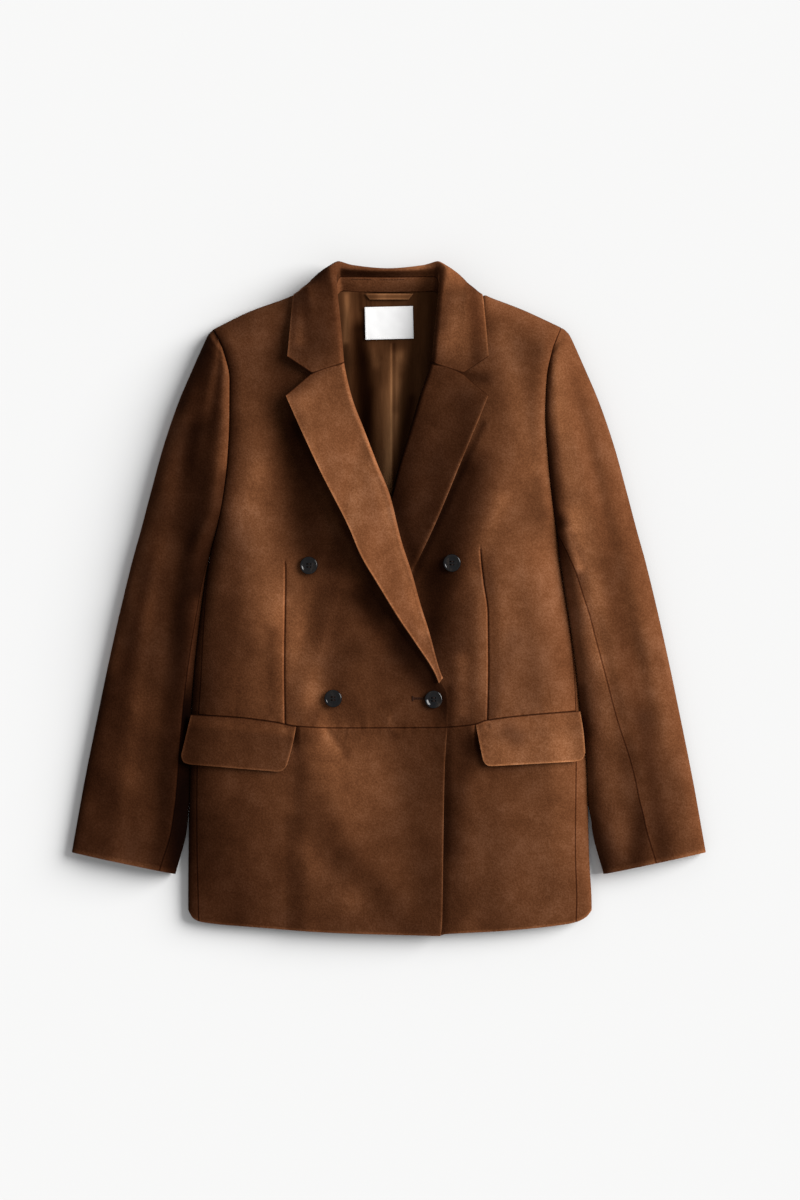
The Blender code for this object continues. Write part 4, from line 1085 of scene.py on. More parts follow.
ACROSS_SIDE = stops(70, 3.0, (1,), 0.7, 3.0)
ALONG_SIDE = stops(400, 4.0, (1,), 0.8, 4.0)
for side, name in NAMES.items():
    obj = wall(
        "Side_panel_" + name, ACROSS_SIDE, ALONG_SIDE, side_panel_of(side), SINGLE_PLY, SHELL,
        side == LEFT, sewn=("u1", "v1"), strokes=LIGHT_AND_TONE_STROKES["body_" + name],
    )
    declare(obj, name + "_side_panel")

# %% Back
UNDER_GAP = 0.8


def back_edge(side, y):
    inset = BACK_SEAM_INSET(y) * (1 - ease((y - ARMPIT) / 25))
    return SIDE_OF[side](np.minimum(y, TIP)) - side * (inset + UNDER_GAP)


back_plan = between(
    lambda y: back_edge(RIGHT, y),
    lambda y: back_edge(LEFT, y),
    lambda x: hem_line(x) + 4.0,
    lambda x: shoulder_line(x) - SEAM_GAP,
)


def back(u, v):
    """The back's outer face, down on the table."""
    x, y = back_plan(u, v)
    turned = 1 - rounding((shoulder_line(x) - SEAM_GAP - y) / UNDER_ROLL)
    beside_neck = ease((np.abs(x + 1) - 60) / 9)
    return x, y, collar_lift(x, y) + (edge_height(loft(y)) - 2 * UNDER_GAP) * turned * beside_neck


obj = wall(
    "Back", stops(420, 5.0, (0, 1), 1.5, 6.0), stops(720, 6.0, (1,), 0.7, 8.0), back, SINGLE_PLY,
    SHELL, True, sewn=("v1",), round_edge=0.4,
)
declare(obj, "back")

# %% [markdown]
# ## Lapels
#
# A lapel's grid starts under the front's edge, turns half a circle round the roll line, and then
# lies back over the front to its own free edge, lifting as it goes. Its top border is the gorge
# seam, with the notch at its outer end. One piece from a grid keeps the roll smooth; a bent plane
# with a Simple Deform modifier would not follow a roll line that curves.

# %% Lapels
def lapel_of(side):
    height = HEIGHT_OF[side]

    def point(u, v):
        roll_up = mix(LAPEL_FOOT[side], GORGE_UP - SEAM_GAP, v)
        edge_up = mix(LAPEL_FOOT[side] - 6, PEAK_UP, v)
        roll_x = ROLL_OF[side](roll_up)
        edge_x = LAPEL_EDGE_OF[side](edge_up)
        length = np.hypot(edge_x - roll_x, edge_up - roll_up)
        out_x = (edge_x - roll_x) / length
        out_y = (edge_up - roll_up) / length
        radius = LAPEL_RADIUS[side](roll_up)
        start_x = roll_x + out_x * radius
        start_y = roll_up + out_y * radius
        turn = math.pi * (np.minimum(u / ROLL_SHARE, 1) - 0.5)
        back_off = radius * np.cos(turn)
        bent = (start_x - out_x * back_off, start_y - out_y * back_off)
        bent_z = height(*bent) - SINGLE_PLY + radius * (1 + np.sin(turn))
        across = np.clip((u - ROLL_SHARE) / (1 - ROLL_SHARE), 0, 1)
        tent = np.minimum(across / NOTCH_SHARE, (1 - across) / (1 - NOTCH_SHARE))
        x = mix(start_x, edge_x, across)
        met = np.sin(math.pi * np.clip(across / NOTCH_SHARE, 0, 1))
        y = mix(start_y, edge_up, across) + (NOTCH_RISE * tent + GORGE_CLOSE[side] * met) * v**8
        laid = (x, y, height(x, y) + lapel_height(side, y, across))
        return tuple(np.where(u < ROLL_SHARE, a, b) for a, b in zip((*bent, bent_z), laid))

    return point


LAPEL_ACROSS = np.concatenate(
    [ROLL_SHARE * np.linspace(0, 1, 13)[:-1], mix(ROLL_SHARE, 1, stops(70, 2.6, (1,), 1.5, 4.0))]
)
LAPEL_LONG = {RIGHT: 360, LEFT: 300}
ALONG_LAPEL = {side: stops(long, 3.0, (1,), 1.0, 4.0) for side, long in LAPEL_LONG.items()}
for side, name in NAMES.items():
    obj = wall(
        "Lapel_" + name, LAPEL_ACROSS, ALONG_LAPEL[side], lapel_of(side), DOUBLE_PLY, (SUEDES,),
        side == RIGHT, sewn=("v1",), round_edge=0.9, strokes=LIGHT_AND_TONE_STROKES["lapel_" + name],
    )
    declare(obj, name + "_lapel")

# %% [markdown]
# ## Flaps
#
# A pocket flap hangs from the waist seam over the skirt. It is two plies pressed together, so its
# free edges are thick and round, and they stand off the coat a little.

# %% Flaps
def flap_of(side):
    at = FLAP_AT[side]
    height = HEIGHT_OF[side]

    def point(u, v):
        v = np.where(v < CORNER_UP, np.maximum(v, flap_corner(u) * (1 - v / CORNER_UP) + v), v)
        x, y, top_x, top_y = (
            mix(at["side_" + axis](up), at["front_" + axis](up), u)
            for up in (v, 1.0) for axis in "xy"
        )
        y = y + (below_waist(top_x) - 0.3 - top_y) * ease((v - 0.55) / 0.45)
        past = side * (SIDE_OF[side](y) - x) - FLAP_INSET
        inset = FLAP_INSET + (past + np.hypot(past, FLAP_BEND)) / 2
        rest = height(SIDE_OF[side](y) - side * inset, y)
        raised = DOUBLE_PLY + STACK_GAP + 0.4
        sewn_in = raised - (raised - 0.1) * ease(1 - (1 - v) / 0.3)
        return x, y, rest + sewn_in + FLAP_LIFT * (1 - v) ** 1.5

    return point


for side, name in NAMES.items():
    obj = wall(
        "Flap_" + name, stops(116, 2.6, (0, 1), 1.3, 6.0), stops(52, 2.0, (0, 1), 1.0, 5.0),
        flap_of(side), DOUBLE_PLY, (SUEDES,), side == LEFT, sewn=("v1",), round_edge=0.9,
        strokes=LIGHT_AND_TONE_STROKES["flap_" + name],
    )
    declare(obj, name + "_flap")

# %% [markdown]
# ## Sleeves
#
# A tailored sleeve has two pieces: a wide top sleeve and a narrow under sleeve, joined in a front
# seam and a back seam. Laid flat, each sleeve is a closed tube that is full on top and flat below.
# `ring` gives any point of that tube by how far along the arm it is and how far round, and each
# piece is the stretch between its two seams.

# %% Sleeve tables
# The share of the way down, then the left sleeve's two sides there and how high it stands
SLEEVE_AT = curves(("inner_x", "inner_y", "outer_x", "outer_y", "loft"), [
    (0.00, 184.5, 279.0, 196.5, 302.8, 28), (0.02, 182.9, 271.5, 201.8, 297.9, 30),
    (0.04, 181.4, 263.7, 205.4, 291.5, 32), (0.06, 180.0, 256.0, 208.5, 284.8, 34),
    (0.12, 178.6, 232.0, 219.5, 260.0, 37), (0.19, 178.8, 200.0, 236.5, 220.0, 38.5),
    (0.26, 181.0, 160.0, 253.5, 170.0, 38.5), (0.33, 186.0, 114.0, 268.5, 115.0, 37.5),
    (0.39, 191.0, 78.0, 278.5, 77.0, 36), (0.45, 203.0, 41.0, 288.5, 41.0, 34.5),
    (0.60, 211.5, -50.0, 310.0, -50.0, 31), (0.74, 220.0, -131.0, 327.0, -131.0, 28),
    (0.87, 225.5, -217.0, 342.0, -206.0, 25.5), (0.93, 227.0, -255.0, 348.5, -242.0, 24),
    (1.00, 240.2, -308.5, 356.0, -284.2, 22),
])
FRONT_SEAM = {
    RIGHT: through([(0.41, 0), (0.46, 0.02), (0.6, 0.06), (0.74, 0.09), (1, 0.15)]),
    LEFT: through([
        (0.395, 0), (0.41, 0.04), (0.44, 0.108), (0.47, 0.157), (0.512, 0.194), (0.546, 0.225),
        (0.592, 0.252), (0.74, 0.35), (0.87, 0.46), (1, 0.51),
    ]),
}
back_seam = through([(0, 0.5), (0.12, 0.66), (0.3, 0.72), (1, 0.72)])
SLEEVE_OUTER_ROLL = 72.0
SLEEVE_INNER_ROLL = 30.0
ARMPIT_S = 0.45         # how far down the armpit is
CAP_TUCK = 1.2          # how deep the sleeve's end is tucked in the armhole,
TIP_TUCK = {RIGHT: 2.4, LEFT: 0.6}      # and how much more at the tip
TIP_CLEAR = 0.15
TIP_REACH = 0.016       # how far down the tip widens to the sleeve's own width
TIP_UP = {RIGHT: 0.0, LEFT: 1.5}
TIP_GROWS = {RIGHT: ease, LEFT: rounding}
SLEEVE_CLEAR = 0.05
SLEEVE_WIDER = {RIGHT: 0.6, LEFT: -0.9}
# As the body's folds, but in shares of the way down and across the sleeve
SLEEVE_FOLDS = {
    RIGHT: [
        (0.16, 0.36, 0.62, 0.26, 0.14, -2.4), (0.55, 0.7, 0.98, 0.62, 0.12, 1.5),
        (0.2, 0.8, 0.5, 0.72, 0.14, 1.0),
    ],
    LEFT: [
        (0.25, 0.62, 0.6, 0.66, 0.12, -2.0), (0.62, 0.62, 0.9, 0.72, 0.13, -1.2),
        (0.5, 0.35, 0.8, 0.5, 0.12, 1.2),
    ],
}
SLEEVE_WAVE = 0.9
SLEEVE_WAVE_LONG = 66.0
print("sleeve along its middle:", round(math.hypot(300 - 190, 296 + 291)), "mm")

# %% The sleeve's ring
def sleeve_fold_height(side, s, across):
    total = 0.0
    for s0, across0, s1, across1, wide, deep in SLEEVE_FOLDS[side]:
        t = (s - s0) / (s1 - s0)
        middle = mix(across0, across1, np.clip(t, 0.0, 1.0))
        past = np.maximum(0.0, np.maximum(-t, t - 1))
        total = total + deep * np.exp(-(((across - middle) / wide) ** 2) - (past * 4) ** 2)
    return total


def sleeve_line(side, s):
    """Both ends of the line across the sleeve at s, as if it were the left one, and its width."""
    inner_x, inner_y, outer_x, outer_y, _ = (curve(s) for curve in SLEEVE_AT.values())
    clear = SLEEVE_CLEAR * ease((s - ARMPIT_S + 0.01) / 0.04)
    inner_x = mix(np.abs(SIDE_OF[side](inner_y)) + clear, inner_x, ease((s - 0.88) / 0.05))
    outer_y = outer_y + TIP_UP[side] * (1 - ease(s / TIP_REACH))
    tip = np.abs(SIDE_OF[side](SLEEVE_AT["outer_y"](0))) + TIP_CLEAR - SLEEVE_AT["outer_x"](0)
    outer_x = outer_x + mix(tip, SLEEVE_WIDER[side], TIP_GROWS[side](s / TIP_REACH))
    return inner_x, inner_y, outer_x, outer_y, np.hypot(outer_x - inner_x, outer_y - inner_y)


def cap_tuck(side, s, across):
    """How far the sleeve's end is tucked down in the armhole's seam."""
    return (CAP_TUCK + TIP_TUCK[side] * ease((across - 0.45) / 0.35)) * (1 - ease(s / 0.03))


def sleeve_top(side, s, across):
    """The outer face on top, at a share of the way across from the inner side."""
    inner_x, inner_y, outer_x, outer_y, width = sleeve_line(side, s)
    full = SLEEVE_AT["loft"](s)
    low = edge_height(full)
    seam = front_height(SIDE_OF[side](inner_y) - side * SEAM_GAP, inner_y)
    open_share = armhole_open(inner_y)
    inner_low = mix(low, seam, open_share)
    inner_roll = np.minimum(mix(SLEEVE_INNER_ROLL, ARMHOLE_CREASE, open_share), width / 2)
    outer_roll = np.minimum(SLEEVE_OUTER_ROLL, width)
    z = low + (full - low) * rounding((1 - across) * width / outer_roll)
    z = z - (full - inner_low) * (1 - rounding(across * width / inner_roll))
    z = z - cap_tuck(side, s, across)
    fade = ease(np.minimum(across, 1 - across) / 0.16)
    x = mix(inner_x, outer_x, across)
    y = mix(inner_y, outer_y, across)
    wave = SLEEVE_WAVE * ripple(x + 40 * side, y, SLEEVE_WAVE_LONG, 5.0 + side)
    return x, y, z + fade * (sleeve_fold_height(side, s, across) + wave)


def sleeve_under(side, s, across):
    """The outer face below: flat on the table, turning up at its closed sides."""
    inner_x, inner_y, outer_x, outer_y, width = sleeve_line(side, s)
    low = edge_height(SLEEVE_AT["loft"](s))
    roll = np.minimum(UNDER_ROLL, width / 3)
    z = (low - cap_tuck(side, s, 1.0)) * (1 - rounding((1 - across) * width / roll))
    z = z + low * (1 - rounding(across * width / roll)) * ease((s - ARMPIT_S + 0.03) / 0.04)
    return mix(inner_x, outer_x, across), mix(inner_y, outer_y, across), z


def turn_of(across):
    """Where on the ring a share of the way across, on top, is."""
    return np.arccos(1 - 2 * np.clip(across, 0, 1)) / math.pi


def ring(side, s, turn):
    """The sleeve's outer face. turn goes from 0 over the top to 1, and back below to 2."""
    turn = np.mod(turn, 2.0)
    above = turn <= 1.0
    over = sleeve_top(side, s, (1 - np.cos(math.pi * np.minimum(turn, 1))) / 2)
    under = sleeve_under(side, s, (1 + np.cos(math.pi * np.maximum(turn - 1, 0))) / 2)
    x, y, z = (np.where(above, a, b) for a, b in zip(over, under))
    return side * x, y, z


elbow = ring(LEFT, np.array(0.6), np.array(0.5))
print("the left sleeve's top at the elbow:", [round(float(c), 1) for c in elbow])

# %% Top and under sleeves
def seam_share(side, s):
    """The sleeve's seam gap as a share of the way across."""
    width = sleeve_line(side, s)[4]
    return (0.5 + 2 * (1 - ease(s / 0.1))) * SEAM_GAP / width


def sleeve_panel(side, turn_from, turn_to):
    """A panel between two seams of the sleeve. v runs up, from the cuff."""

    def point(u, v):
        s = mix(0.5, 1.0, 1 - v) * (1 - v)
        return ring(side, s, mix(turn_from(s), turn_to(s), u))

    return point


def top_sleeve_of(side):
    return sleeve_panel(
        side,
        lambda s: turn_of(FRONT_SEAM[side](s) + seam_share(side, s)),
        lambda s: 2 - turn_of(back_seam(s) + seam_share(side, s)),
    )


def under_sleeve_of(side):
    def end(s):
        seam = FRONT_SEAM[side](s)
        return np.where(seam > 0, 2 + turn_of(seam), 2 - 1e-9)

    return sleeve_panel(side, lambda s: 2 - turn_of(back_seam(s)), end)


ALONG_SLEEVE = stops(610, 3.6, (1,), 1.2, 8.0)
ACROSS_TOP = stops(170, 2.6, (0,), 0.7, 4.0)
ACROSS_UNDER = stops(100, 3.0, (1,), 0.7, 4.0)
for side, name in NAMES.items():
    for kind, across, panel, rests_on in (
        ("top_sleeve", ACROSS_TOP, top_sleeve_of(side), [name + "_under_sleeve"]),
        ("under_sleeve", ACROSS_UNDER, under_sleeve_of(side), ()),
    ):
        obj = wall(
            f"{kind.capitalize()}_{name}", across, ALONG_SLEEVE, panel, SINGLE_PLY, SHELL,
            side == RIGHT, sewn=("u0", "u1", "v1"), strokes=LIGHT_AND_TONE_STROKES[f"{kind}_{name}"],
        )
        declare(obj, f"{name}_{kind}")

# %% [markdown]
# ## Collar and stand
#
# The collar stands up behind the neck, rolls over, and falls to the back and to the front, where it
# meets the lapels in the gorge seams. It is drawn as sections: each is a smooth line through five
# points, and the sections change from the middle of the back to each front end.

# %% Collar
COLLAR_CENTRE = -1.6
PARTS = ("seam", "roll", "crest", "fall", "edge")
COLLAR_AT = curves([part + axis for part in PARTS for axis in "xyz"], [
    # how far round, then the seam, the roll, the crest, the fall and the edge
    (-0.18, -38, 361.4, 16.5, -38, 368.8, 23.5, -40, 374.4, 18.5, -44, 367.0, 3.2, -52, 318.0, 0.2),
    (0.00, 0, 360.8, 16.5, 0, 367.2, 22.5, 0, 370.8, 17.0, 0, 364.5, 3.0, 0, 318.0, 0.2),
    (0.18, 38, 361.4, 16.5, 38, 368.8, 23.5, 40, 374.4, 18.5, 44, 367.0, 3.2, 52, 318.0, 0.2),
    (0.29, 52.5, 361.2, 18.0, 53.5, 371.2, 27.0, 55.5, 378.2, 24.0, 71, 361.5, 5.0, 80, 320.0, 0.2),
    (0.35, 55, 359.0, 19.0, 56, 368.5, 29.5, 61, 374.8, 30.0, 80.5, 358.5, 10.5, 90, 321.0, 0.2),
    (0.41, 57.0, 353.5, 20.8, 57, 361.5, 31.0, 65, 369.5, 35.0, 89, 353.8, 18.5, 98.0, 326.0, 0.4),
    (0.47, 57.8, 347.0, 23.5, 57, 354.0, 33.5, 65, 361.0, 38.5, 91, 351.8, 29.0, 104.0, 342.5, 7.5),
    (0.53, 58, 340.0, 26.0, 56.5, 345.0, 35.0, 63, 349.5, 40.0,
     88, 348.5, 37.5, 105.5, 341.5, 22.0),
    (0.68, 57, 320.0, 30.5, 54, 321.0, 37.0, 60, 323.0, 42.0, 84, 322.0, 43.5, 108.5, 315.0, 36.0),
    (0.84, 55, 292.0, 32.5, 51.2, 292.0, 37.5, 56, 292.5, 43.0,
     84, 292.0, 45.5, 110.5, 291.0, 42.0),
    (1.00, 52.8, 264.2, 33.0, 48.9, 264.2, 38.0, 53.5, 264.2, 43.6,
     84.4, 267.0, 45.5, 112.2, 270.5, 44.0),
])
COLLAR_STOPS = (0.0, 0.16, 0.32, 0.62, 1.0)
NOTCH_DROP = 15.0       # how deep the notch cuts into the collar's end,
NOTCH_FROM = 0.86       # and from where on, in shares of the way round


def collar(u, v):
    """u runs from the right end to the left one, v from the stand's seam to the fall's edge."""
    w = np.abs(2 * u - 1)
    side = np.where(u < 0.5, RIGHT, LEFT)
    x, y, z = (
        spline(COLLAR_STOPS, [COLLAR_AT[part + axis](w) for part in PARTS], v) for axis in "xyz"
    )
    roll, notch, edge = (COLLAR_AT[part + "x"](w) for part in ("roll", "fall", "edge"))
    tent = np.minimum((x - roll) / (notch - roll), (edge - x) / (edge - notch))
    at_end = (v > COLLAR_STOPS[1]) & (w > NOTCH_FROM)
    deep = NOTCH_DROP * np.maximum((w - NOTCH_FROM) / (1 - NOTCH_FROM), 0) ** 1.5
    y = y - np.where(at_end, deep * tent, 0.0)
    return COLLAR_CENTRE + side * x, y, z


obj = wall(
    "Collar", stops(330, 2.4, (0, 1), 1.2, 5.0), stops(85, 2.0, (1,), 1.2, 4.0), collar, DOUBLE_PLY,
    (SUEDES,), sewn=("u0", "u1", "v0"), round_edge=0.9, strokes=LIGHT_AND_TONE_STROKES["collar"],
)
declare(obj, "collar")

# %% Collar stand
# How far round, then the stand's foot
STAND_AT = curves("xyz", [
    (-0.18, -36, 344.6, 9.5), (0.00, 0, 344.0, 9.5), (0.18, 36, 344.6, 9.5),
    (0.30, 50, 345.5, 10.0), (0.42, 57, 340.0, 13.0), (0.52, 60, 328.0, 17.0),
    (0.68, 61.5, 308.0, 22.0), (0.84, 61, 286.0, 25.0), (1.00, 58, 265.0, 26.0),
])


def collar_stand(u, v):
    w = np.abs(2 * u - 1)
    side = np.where(u < 0.5, RIGHT, LEFT)
    foot = np.stack([STAND_AT[axis](w) for axis in "xyz"])
    seam = np.stack([COLLAR_AT["seam" + axis](w) for axis in "xyz"])
    x, y, z = mix(foot, seam, v * (1 - SEAM_GAP / np.linalg.norm(seam - foot, axis=0)))
    return COLLAR_CENTRE + side * x, y, z


obj = wall(
    "Collar_stand", stops(300, 3.0), stops(20, 1.6), collar_stand, SINGLE_PLY, (SUEDES,),
    sewn=("v0", "v1"), round_edge=0.5, strokes=LIGHT_AND_TONE_STROKES["stand"],
)
declare(obj, "collar_stand")

# %% [markdown]
# ## What the neck shows
#
# Inside the neck lies the satin lining with its soft folds and the pleat down the middle, a blank
# label, and the loop that the coat hangs by. The folds are lines with a width and a depth again,
# with a slow ripple between them.

# %% Lining, label and loop
LINING_FOLDS = [
    (-46, 335, -38, 120, 7, 2.6), (-28, 280, -22, 110, 6, -1.0), (-8, 270, -6, 90, 8, 1.5),
    (14, 275, 10, 100, 6, 1.8), (42, 330, 26, 120, 7, 2.0),
]
LINING_TOP = 343.6
LINING_FOOT = 60.0
LINING_HALF = 58.0
LINING_SIDES_UP = 1.9       # how much higher its top is beside the middle
PLEAT_AT = 1.8
PLEAT_STEP = 1.0
PLEAT_TOP = 291.0
LABEL_ACROSS = 54.0
LABEL_HIGH = 36.5
LABEL_X = -0.4
LABEL_Y = 309.8
LABEL_TURN = math.radians(1.4)
LABEL_STIFF = 0.7           # how little it follows the lining's folds
LOOP_ACROSS = 54.0
LOOP_WIDE = 6.5
LOOP_RISE = 2.2


def lining_height(x, y):
    bed = collar_lift(x, y) + SINGLE_PLY + STACK_GAP + 1.2
    fade = ease((LINING_TOP - 2 - y) / 26)
    pleat = PLEAT_STEP * (1 - ease((x - PLEAT_AT + 1.5) / 3)) * ease((PLEAT_TOP - y) / 12)
    return bed + LINING_PLY + fade * fold_height(LINING_FOLDS, x, y) + pleat


def lining(u, v):
    x = mix(-LINING_HALF, LINING_HALF, u) - 1.0
    top = LINING_TOP - SEAM_GAP + LINING_SIDES_UP * ease((np.abs(x) - 10) / 40)
    y = mix(LINING_FOOT, top, v)
    fine = ease((LINING_TOP - y) / 12)
    return x, y, lining_height(x, y) + fine * (0.15 * ripple(x * 1.6, y * 0.4, 14.0, 9.0))


def label(u, v):
    across = (u - 0.5) * LABEL_ACROSS
    up = (v - 0.5) * LABEL_HIGH
    x = LABEL_X + across * math.cos(LABEL_TURN) - up * math.sin(LABEL_TURN)
    y = LABEL_Y + across * math.sin(LABEL_TURN) + up * math.cos(LABEL_TURN)
    bed = mix(lining_height(x, y), lining_height(LABEL_X, y), LABEL_STIFF)
    return x, y, bed + LABEL_PLY + STACK_GAP + 1.0 + 0.1 * ripple(x, y, 16.0, 3.0)


def hanger_loop(u, v):
    """The loop's ends lie on the lining, and its middle stands a little proud."""
    middle = 1 - np.abs(2 * u - 1) ** 3
    half = LOOP_ACROSS / 2 - 5.0 * (1 - v)
    x = LABEL_X + (2 * u - 1) * half
    y = LINING_TOP - SEAM_GAP - 1.0 - (1 - v) * LOOP_WIDE
    return x, y, lining_height(x, y) + LINING_PLY + STACK_GAP + 0.4 + LOOP_RISE * middle


obj = wall(
    "Back_lining", stops(116, 0.8), stops(283, 2.5), lining, LINING_PLY, (SATIN,),
    sewn=("u0", "u1", "v0", "v1"), round_edge=0, strokes=LIGHT_AND_TONE_STROKES["lining"],
)
declare(obj, "back_lining")
obj = wall(
    "Label", stops(54, 1.2), stops(36, 1.2), label, LABEL_PLY * 0.6, (LABEL_CLOTH,), round_edge=0.2
)
declare(obj, "label")
obj = wall(
    "Hanger_loop", stops(54, 1.5), stops(7, 0.8), hanger_loop, LINING_PLY, (SATIN,), round_edge=0.3,
    strokes=LIGHT_AND_TONE_STROKES["loop"],
)
declare(obj, "hanger_loop")

# %% [markdown]
# ## Buttons
#
# A suit button is turned: a disc with a raised rim, a dish and four holes. `bmesh.ops.spin` turns
# its profile about the axis, just as a lathe would. The holes are cut with a Boolean against four
# pins, applied at once so that the finished mesh stands alone. Thread crosses the holes in two
# short bars.

# %% Turn and place a button
BUTTON_ACROSS = 20.0
BUTTON_THICK = 4.2
BUTTON_FLOOR = BUTTON_THICK - 1.1      # the bottom of the dish, over the button's back
HOLE_ACROSS = 2.0
HOLE_SPREAD = 3.4
PIN_LONG = 12.0
RADIUS = BUTTON_ACROSS / 2
# How far out, and how high: along the dish, a groove, the rim, and back underneath
BUTTON_PROFILE = (
    (0, BUTTON_FLOOR), (4.6, BUTTON_FLOOR - 0.05), (5.5, BUTTON_FLOOR - 0.3),
    (6.0, BUTTON_FLOOR - 0.25), (7.6, BUTTON_THICK - 0.3), (8.0, BUTTON_THICK - 0.06),
    (8.4, BUTTON_THICK), (9.1, BUTTON_THICK - 0.15), (9.7, BUTTON_THICK - 0.65),
    (9.97, BUTTON_THICK - 1.5), (9.7, 1.6), (8.6, 0.6), (6.8, 0), (0, 0),
)
# Where each one sits, on which front, and how long its shank of thread is
BUTTONS = {
    "button_upper_right": (-89.8, 37.5, RIGHT, 0.2),
    "button_lower_right": (-62.6, -111.0, RIGHT, 0.8),
    "button_fastened": (49.0, -112.0, RIGHT, 0.2),
    "button_upper_left": (70.0, 40.3, LEFT, 0.2),
}


def height_at(side, x, y):
    return float(np.ravel(HEIGHT_OF[side](np.array([x]), np.array([y])))[0])


def button_seat(x, y, side):
    """How high the cloth holds a button's back at its middle, and the cloth's two slopes there."""
    lean_x = (height_at(side, x + RADIUS, y) - height_at(side, x - RADIUS, y)) / BUTTON_ACROSS
    lean_y = (height_at(side, x, y + RADIUS) - height_at(side, x, y - RADIUS)) / BUTTON_ACROSS
    seat = height_at(side, x, y)
    for i in range(12):
        aside = (RADIUS - 2) * math.cos(math.tau * i / 12)
        above = (RADIUS - 2) * math.sin(math.tau * i / 12)
        seat = max(seat, height_at(side, x + aside, y + above) - lean_x * aside - lean_y * above)
    return seat + STACK_GAP, lean_x, lean_y


def finish_mesh(bm, name, material, matrix=None):
    """Cleans a bmesh, moves it to its place and turns it into an object."""
    bmesh.ops.remove_doubles(bm, verts=bm.verts, dist=1e-6)
    bmesh.ops.recalc_face_normals(bm, faces=bm.faces)
    if matrix:
        bmesh.ops.transform(bm, matrix=matrix, verts=bm.verts)
    return object_from(bm, name, (material,))


def cut_holes(obj, matrix):
    """Four round holes right through a button, cut with a Boolean that is applied at once."""
    bm = bmesh.new()
    radius = HOLE_ACROSS / 2 * MM
    for i in range(4):
        angle = math.radians(45 + 90 * i)
        pin = bmesh.ops.create_cone(
            bm, cap_ends=True, segments=20, radius1=radius, radius2=radius, depth=PIN_LONG * MM
        )
        away = Vector((math.cos(angle), math.sin(angle), 0)) * HOLE_SPREAD / math.sqrt(2) * MM
        bmesh.ops.translate(bm, verts=pin["verts"], vec=away)
    pins = finish_mesh(bm, "pins", HORN, matrix)
    cut = obj.modifiers.new("Holes", "BOOLEAN")
    cut.operation = "DIFFERENCE"
    cut.solver = "EXACT"
    cut.object = pins
    bpy.context.view_layer.update()
    cut_obj = obj.evaluated_get(bpy.context.evaluated_depsgraph_get())
    cut_mesh = bpy.data.meshes.new_from_object(cut_obj)
    obj.modifiers.clear()
    obj.data = cut_mesh
    bpy.data.objects.remove(pins, do_unlink=True)


def button(name, x, y, side, shank):
    seat, lean_x, lean_y = button_seat(x, y, side)
    axis = Vector((-lean_x, -lean_y, 1)).normalized()
    up = axis.cross(Vector((1, 0, 0))).normalized()
    place = Matrix((up.cross(axis), up, axis)).transposed().to_4x4()
    place.translation = Vector((x, y, seat + shank)) * MM
    bm = bmesh.new()
    line = [bm.verts.new((r * MM, 0, z * MM)) for r, z in BUTTON_PROFILE]
    edges = [bm.edges.new(pair) for pair in zip(line, line[1:])]
    bmesh.ops.spin(
        bm, geom=line + edges, cent=(0, 0, 0), axis=(0, 0, 1), angle=math.tau, steps=64,
        use_merge=True,
    )
    obj = finish_mesh(bm, name.title(), HORN, place)
    cut_holes(obj, place)
    obj.data.shade_smooth()
    round_off(obj, "Worn edges", 0.12, 2, 50)
    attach(obj, BODY)
    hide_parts(name)
    return place


places = {name: button(name, *where) for name, where in BUTTONS.items()}
print("buttons at z mm:", {name: round(m.translation.z / MM, 1) for name, m in places.items()})

# %% [markdown]
# ## Thread
#
# A stitch is a short tube that is thick in its middle and dives into the cloth at both ends. The
# same function makes the thread in the buttons, the close stitches round the buttonhole, and the
# stitches that hold the label and the collar stand. Curves with a bevel could do it, but one mesh
# for each group of stitches stays lighter.

# %% Thread in the holes and the buttonhole
def stitch(bm, start, end, thick, sag, steps=6):
    """A stretch of thread from start to end in mm, arched over the cloth: a tube of 8 sides."""
    start = Vector(start)
    run = Vector(end) - start
    up = Vector((0, 0, 1))
    aside = run.cross(up).normalized()
    ring_before = None
    for i in range(steps + 1):
        t = i / steps
        centre = start + run * t + up * sag * math.sin(math.pi * t)
        radius = thick / 2 * (0.55 + 0.45 * math.sin(math.pi * min(max(t, 0.08), 0.92)))
        circle = bmesh.ops.create_circle(bm, cap_ends=i in (0, steps), segments=8, radius=radius)
        for vert in circle["verts"]:
            vert.co = (centre + aside * vert.co.x + up * vert.co.y) * MM
        circle = circle["verts"]
        if ring_before:
            for j in range(8):
                bm.faces.new((ring_before[j], ring_before[j - 1], circle[j - 1], circle[j]))
        ring_before = circle


def thread_piece(name, bm, material):
    obj = finish_mesh(bm, name, material)
    obj.data.shade_smooth()
    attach(obj, BODY)
    print(name, "has", len(obj.data.polygons), "faces")


THREAD_FLOOR = BUTTON_FLOOR - 0.35
bm = bmesh.new()
half = HOLE_SPREAD / 2
for place in places.values():
    for y in (row + shift for row in (-half, half) for shift in (-0.45, 0.0, 0.45)):
        ends = [place @ (Vector((x, y, THREAD_FLOOR)) * MM) / MM for x in (-half, half)]
        stitch(bm, *ends, 0.55, 0.75)
thread_piece("Button_thread", bm, DARK_THREAD)

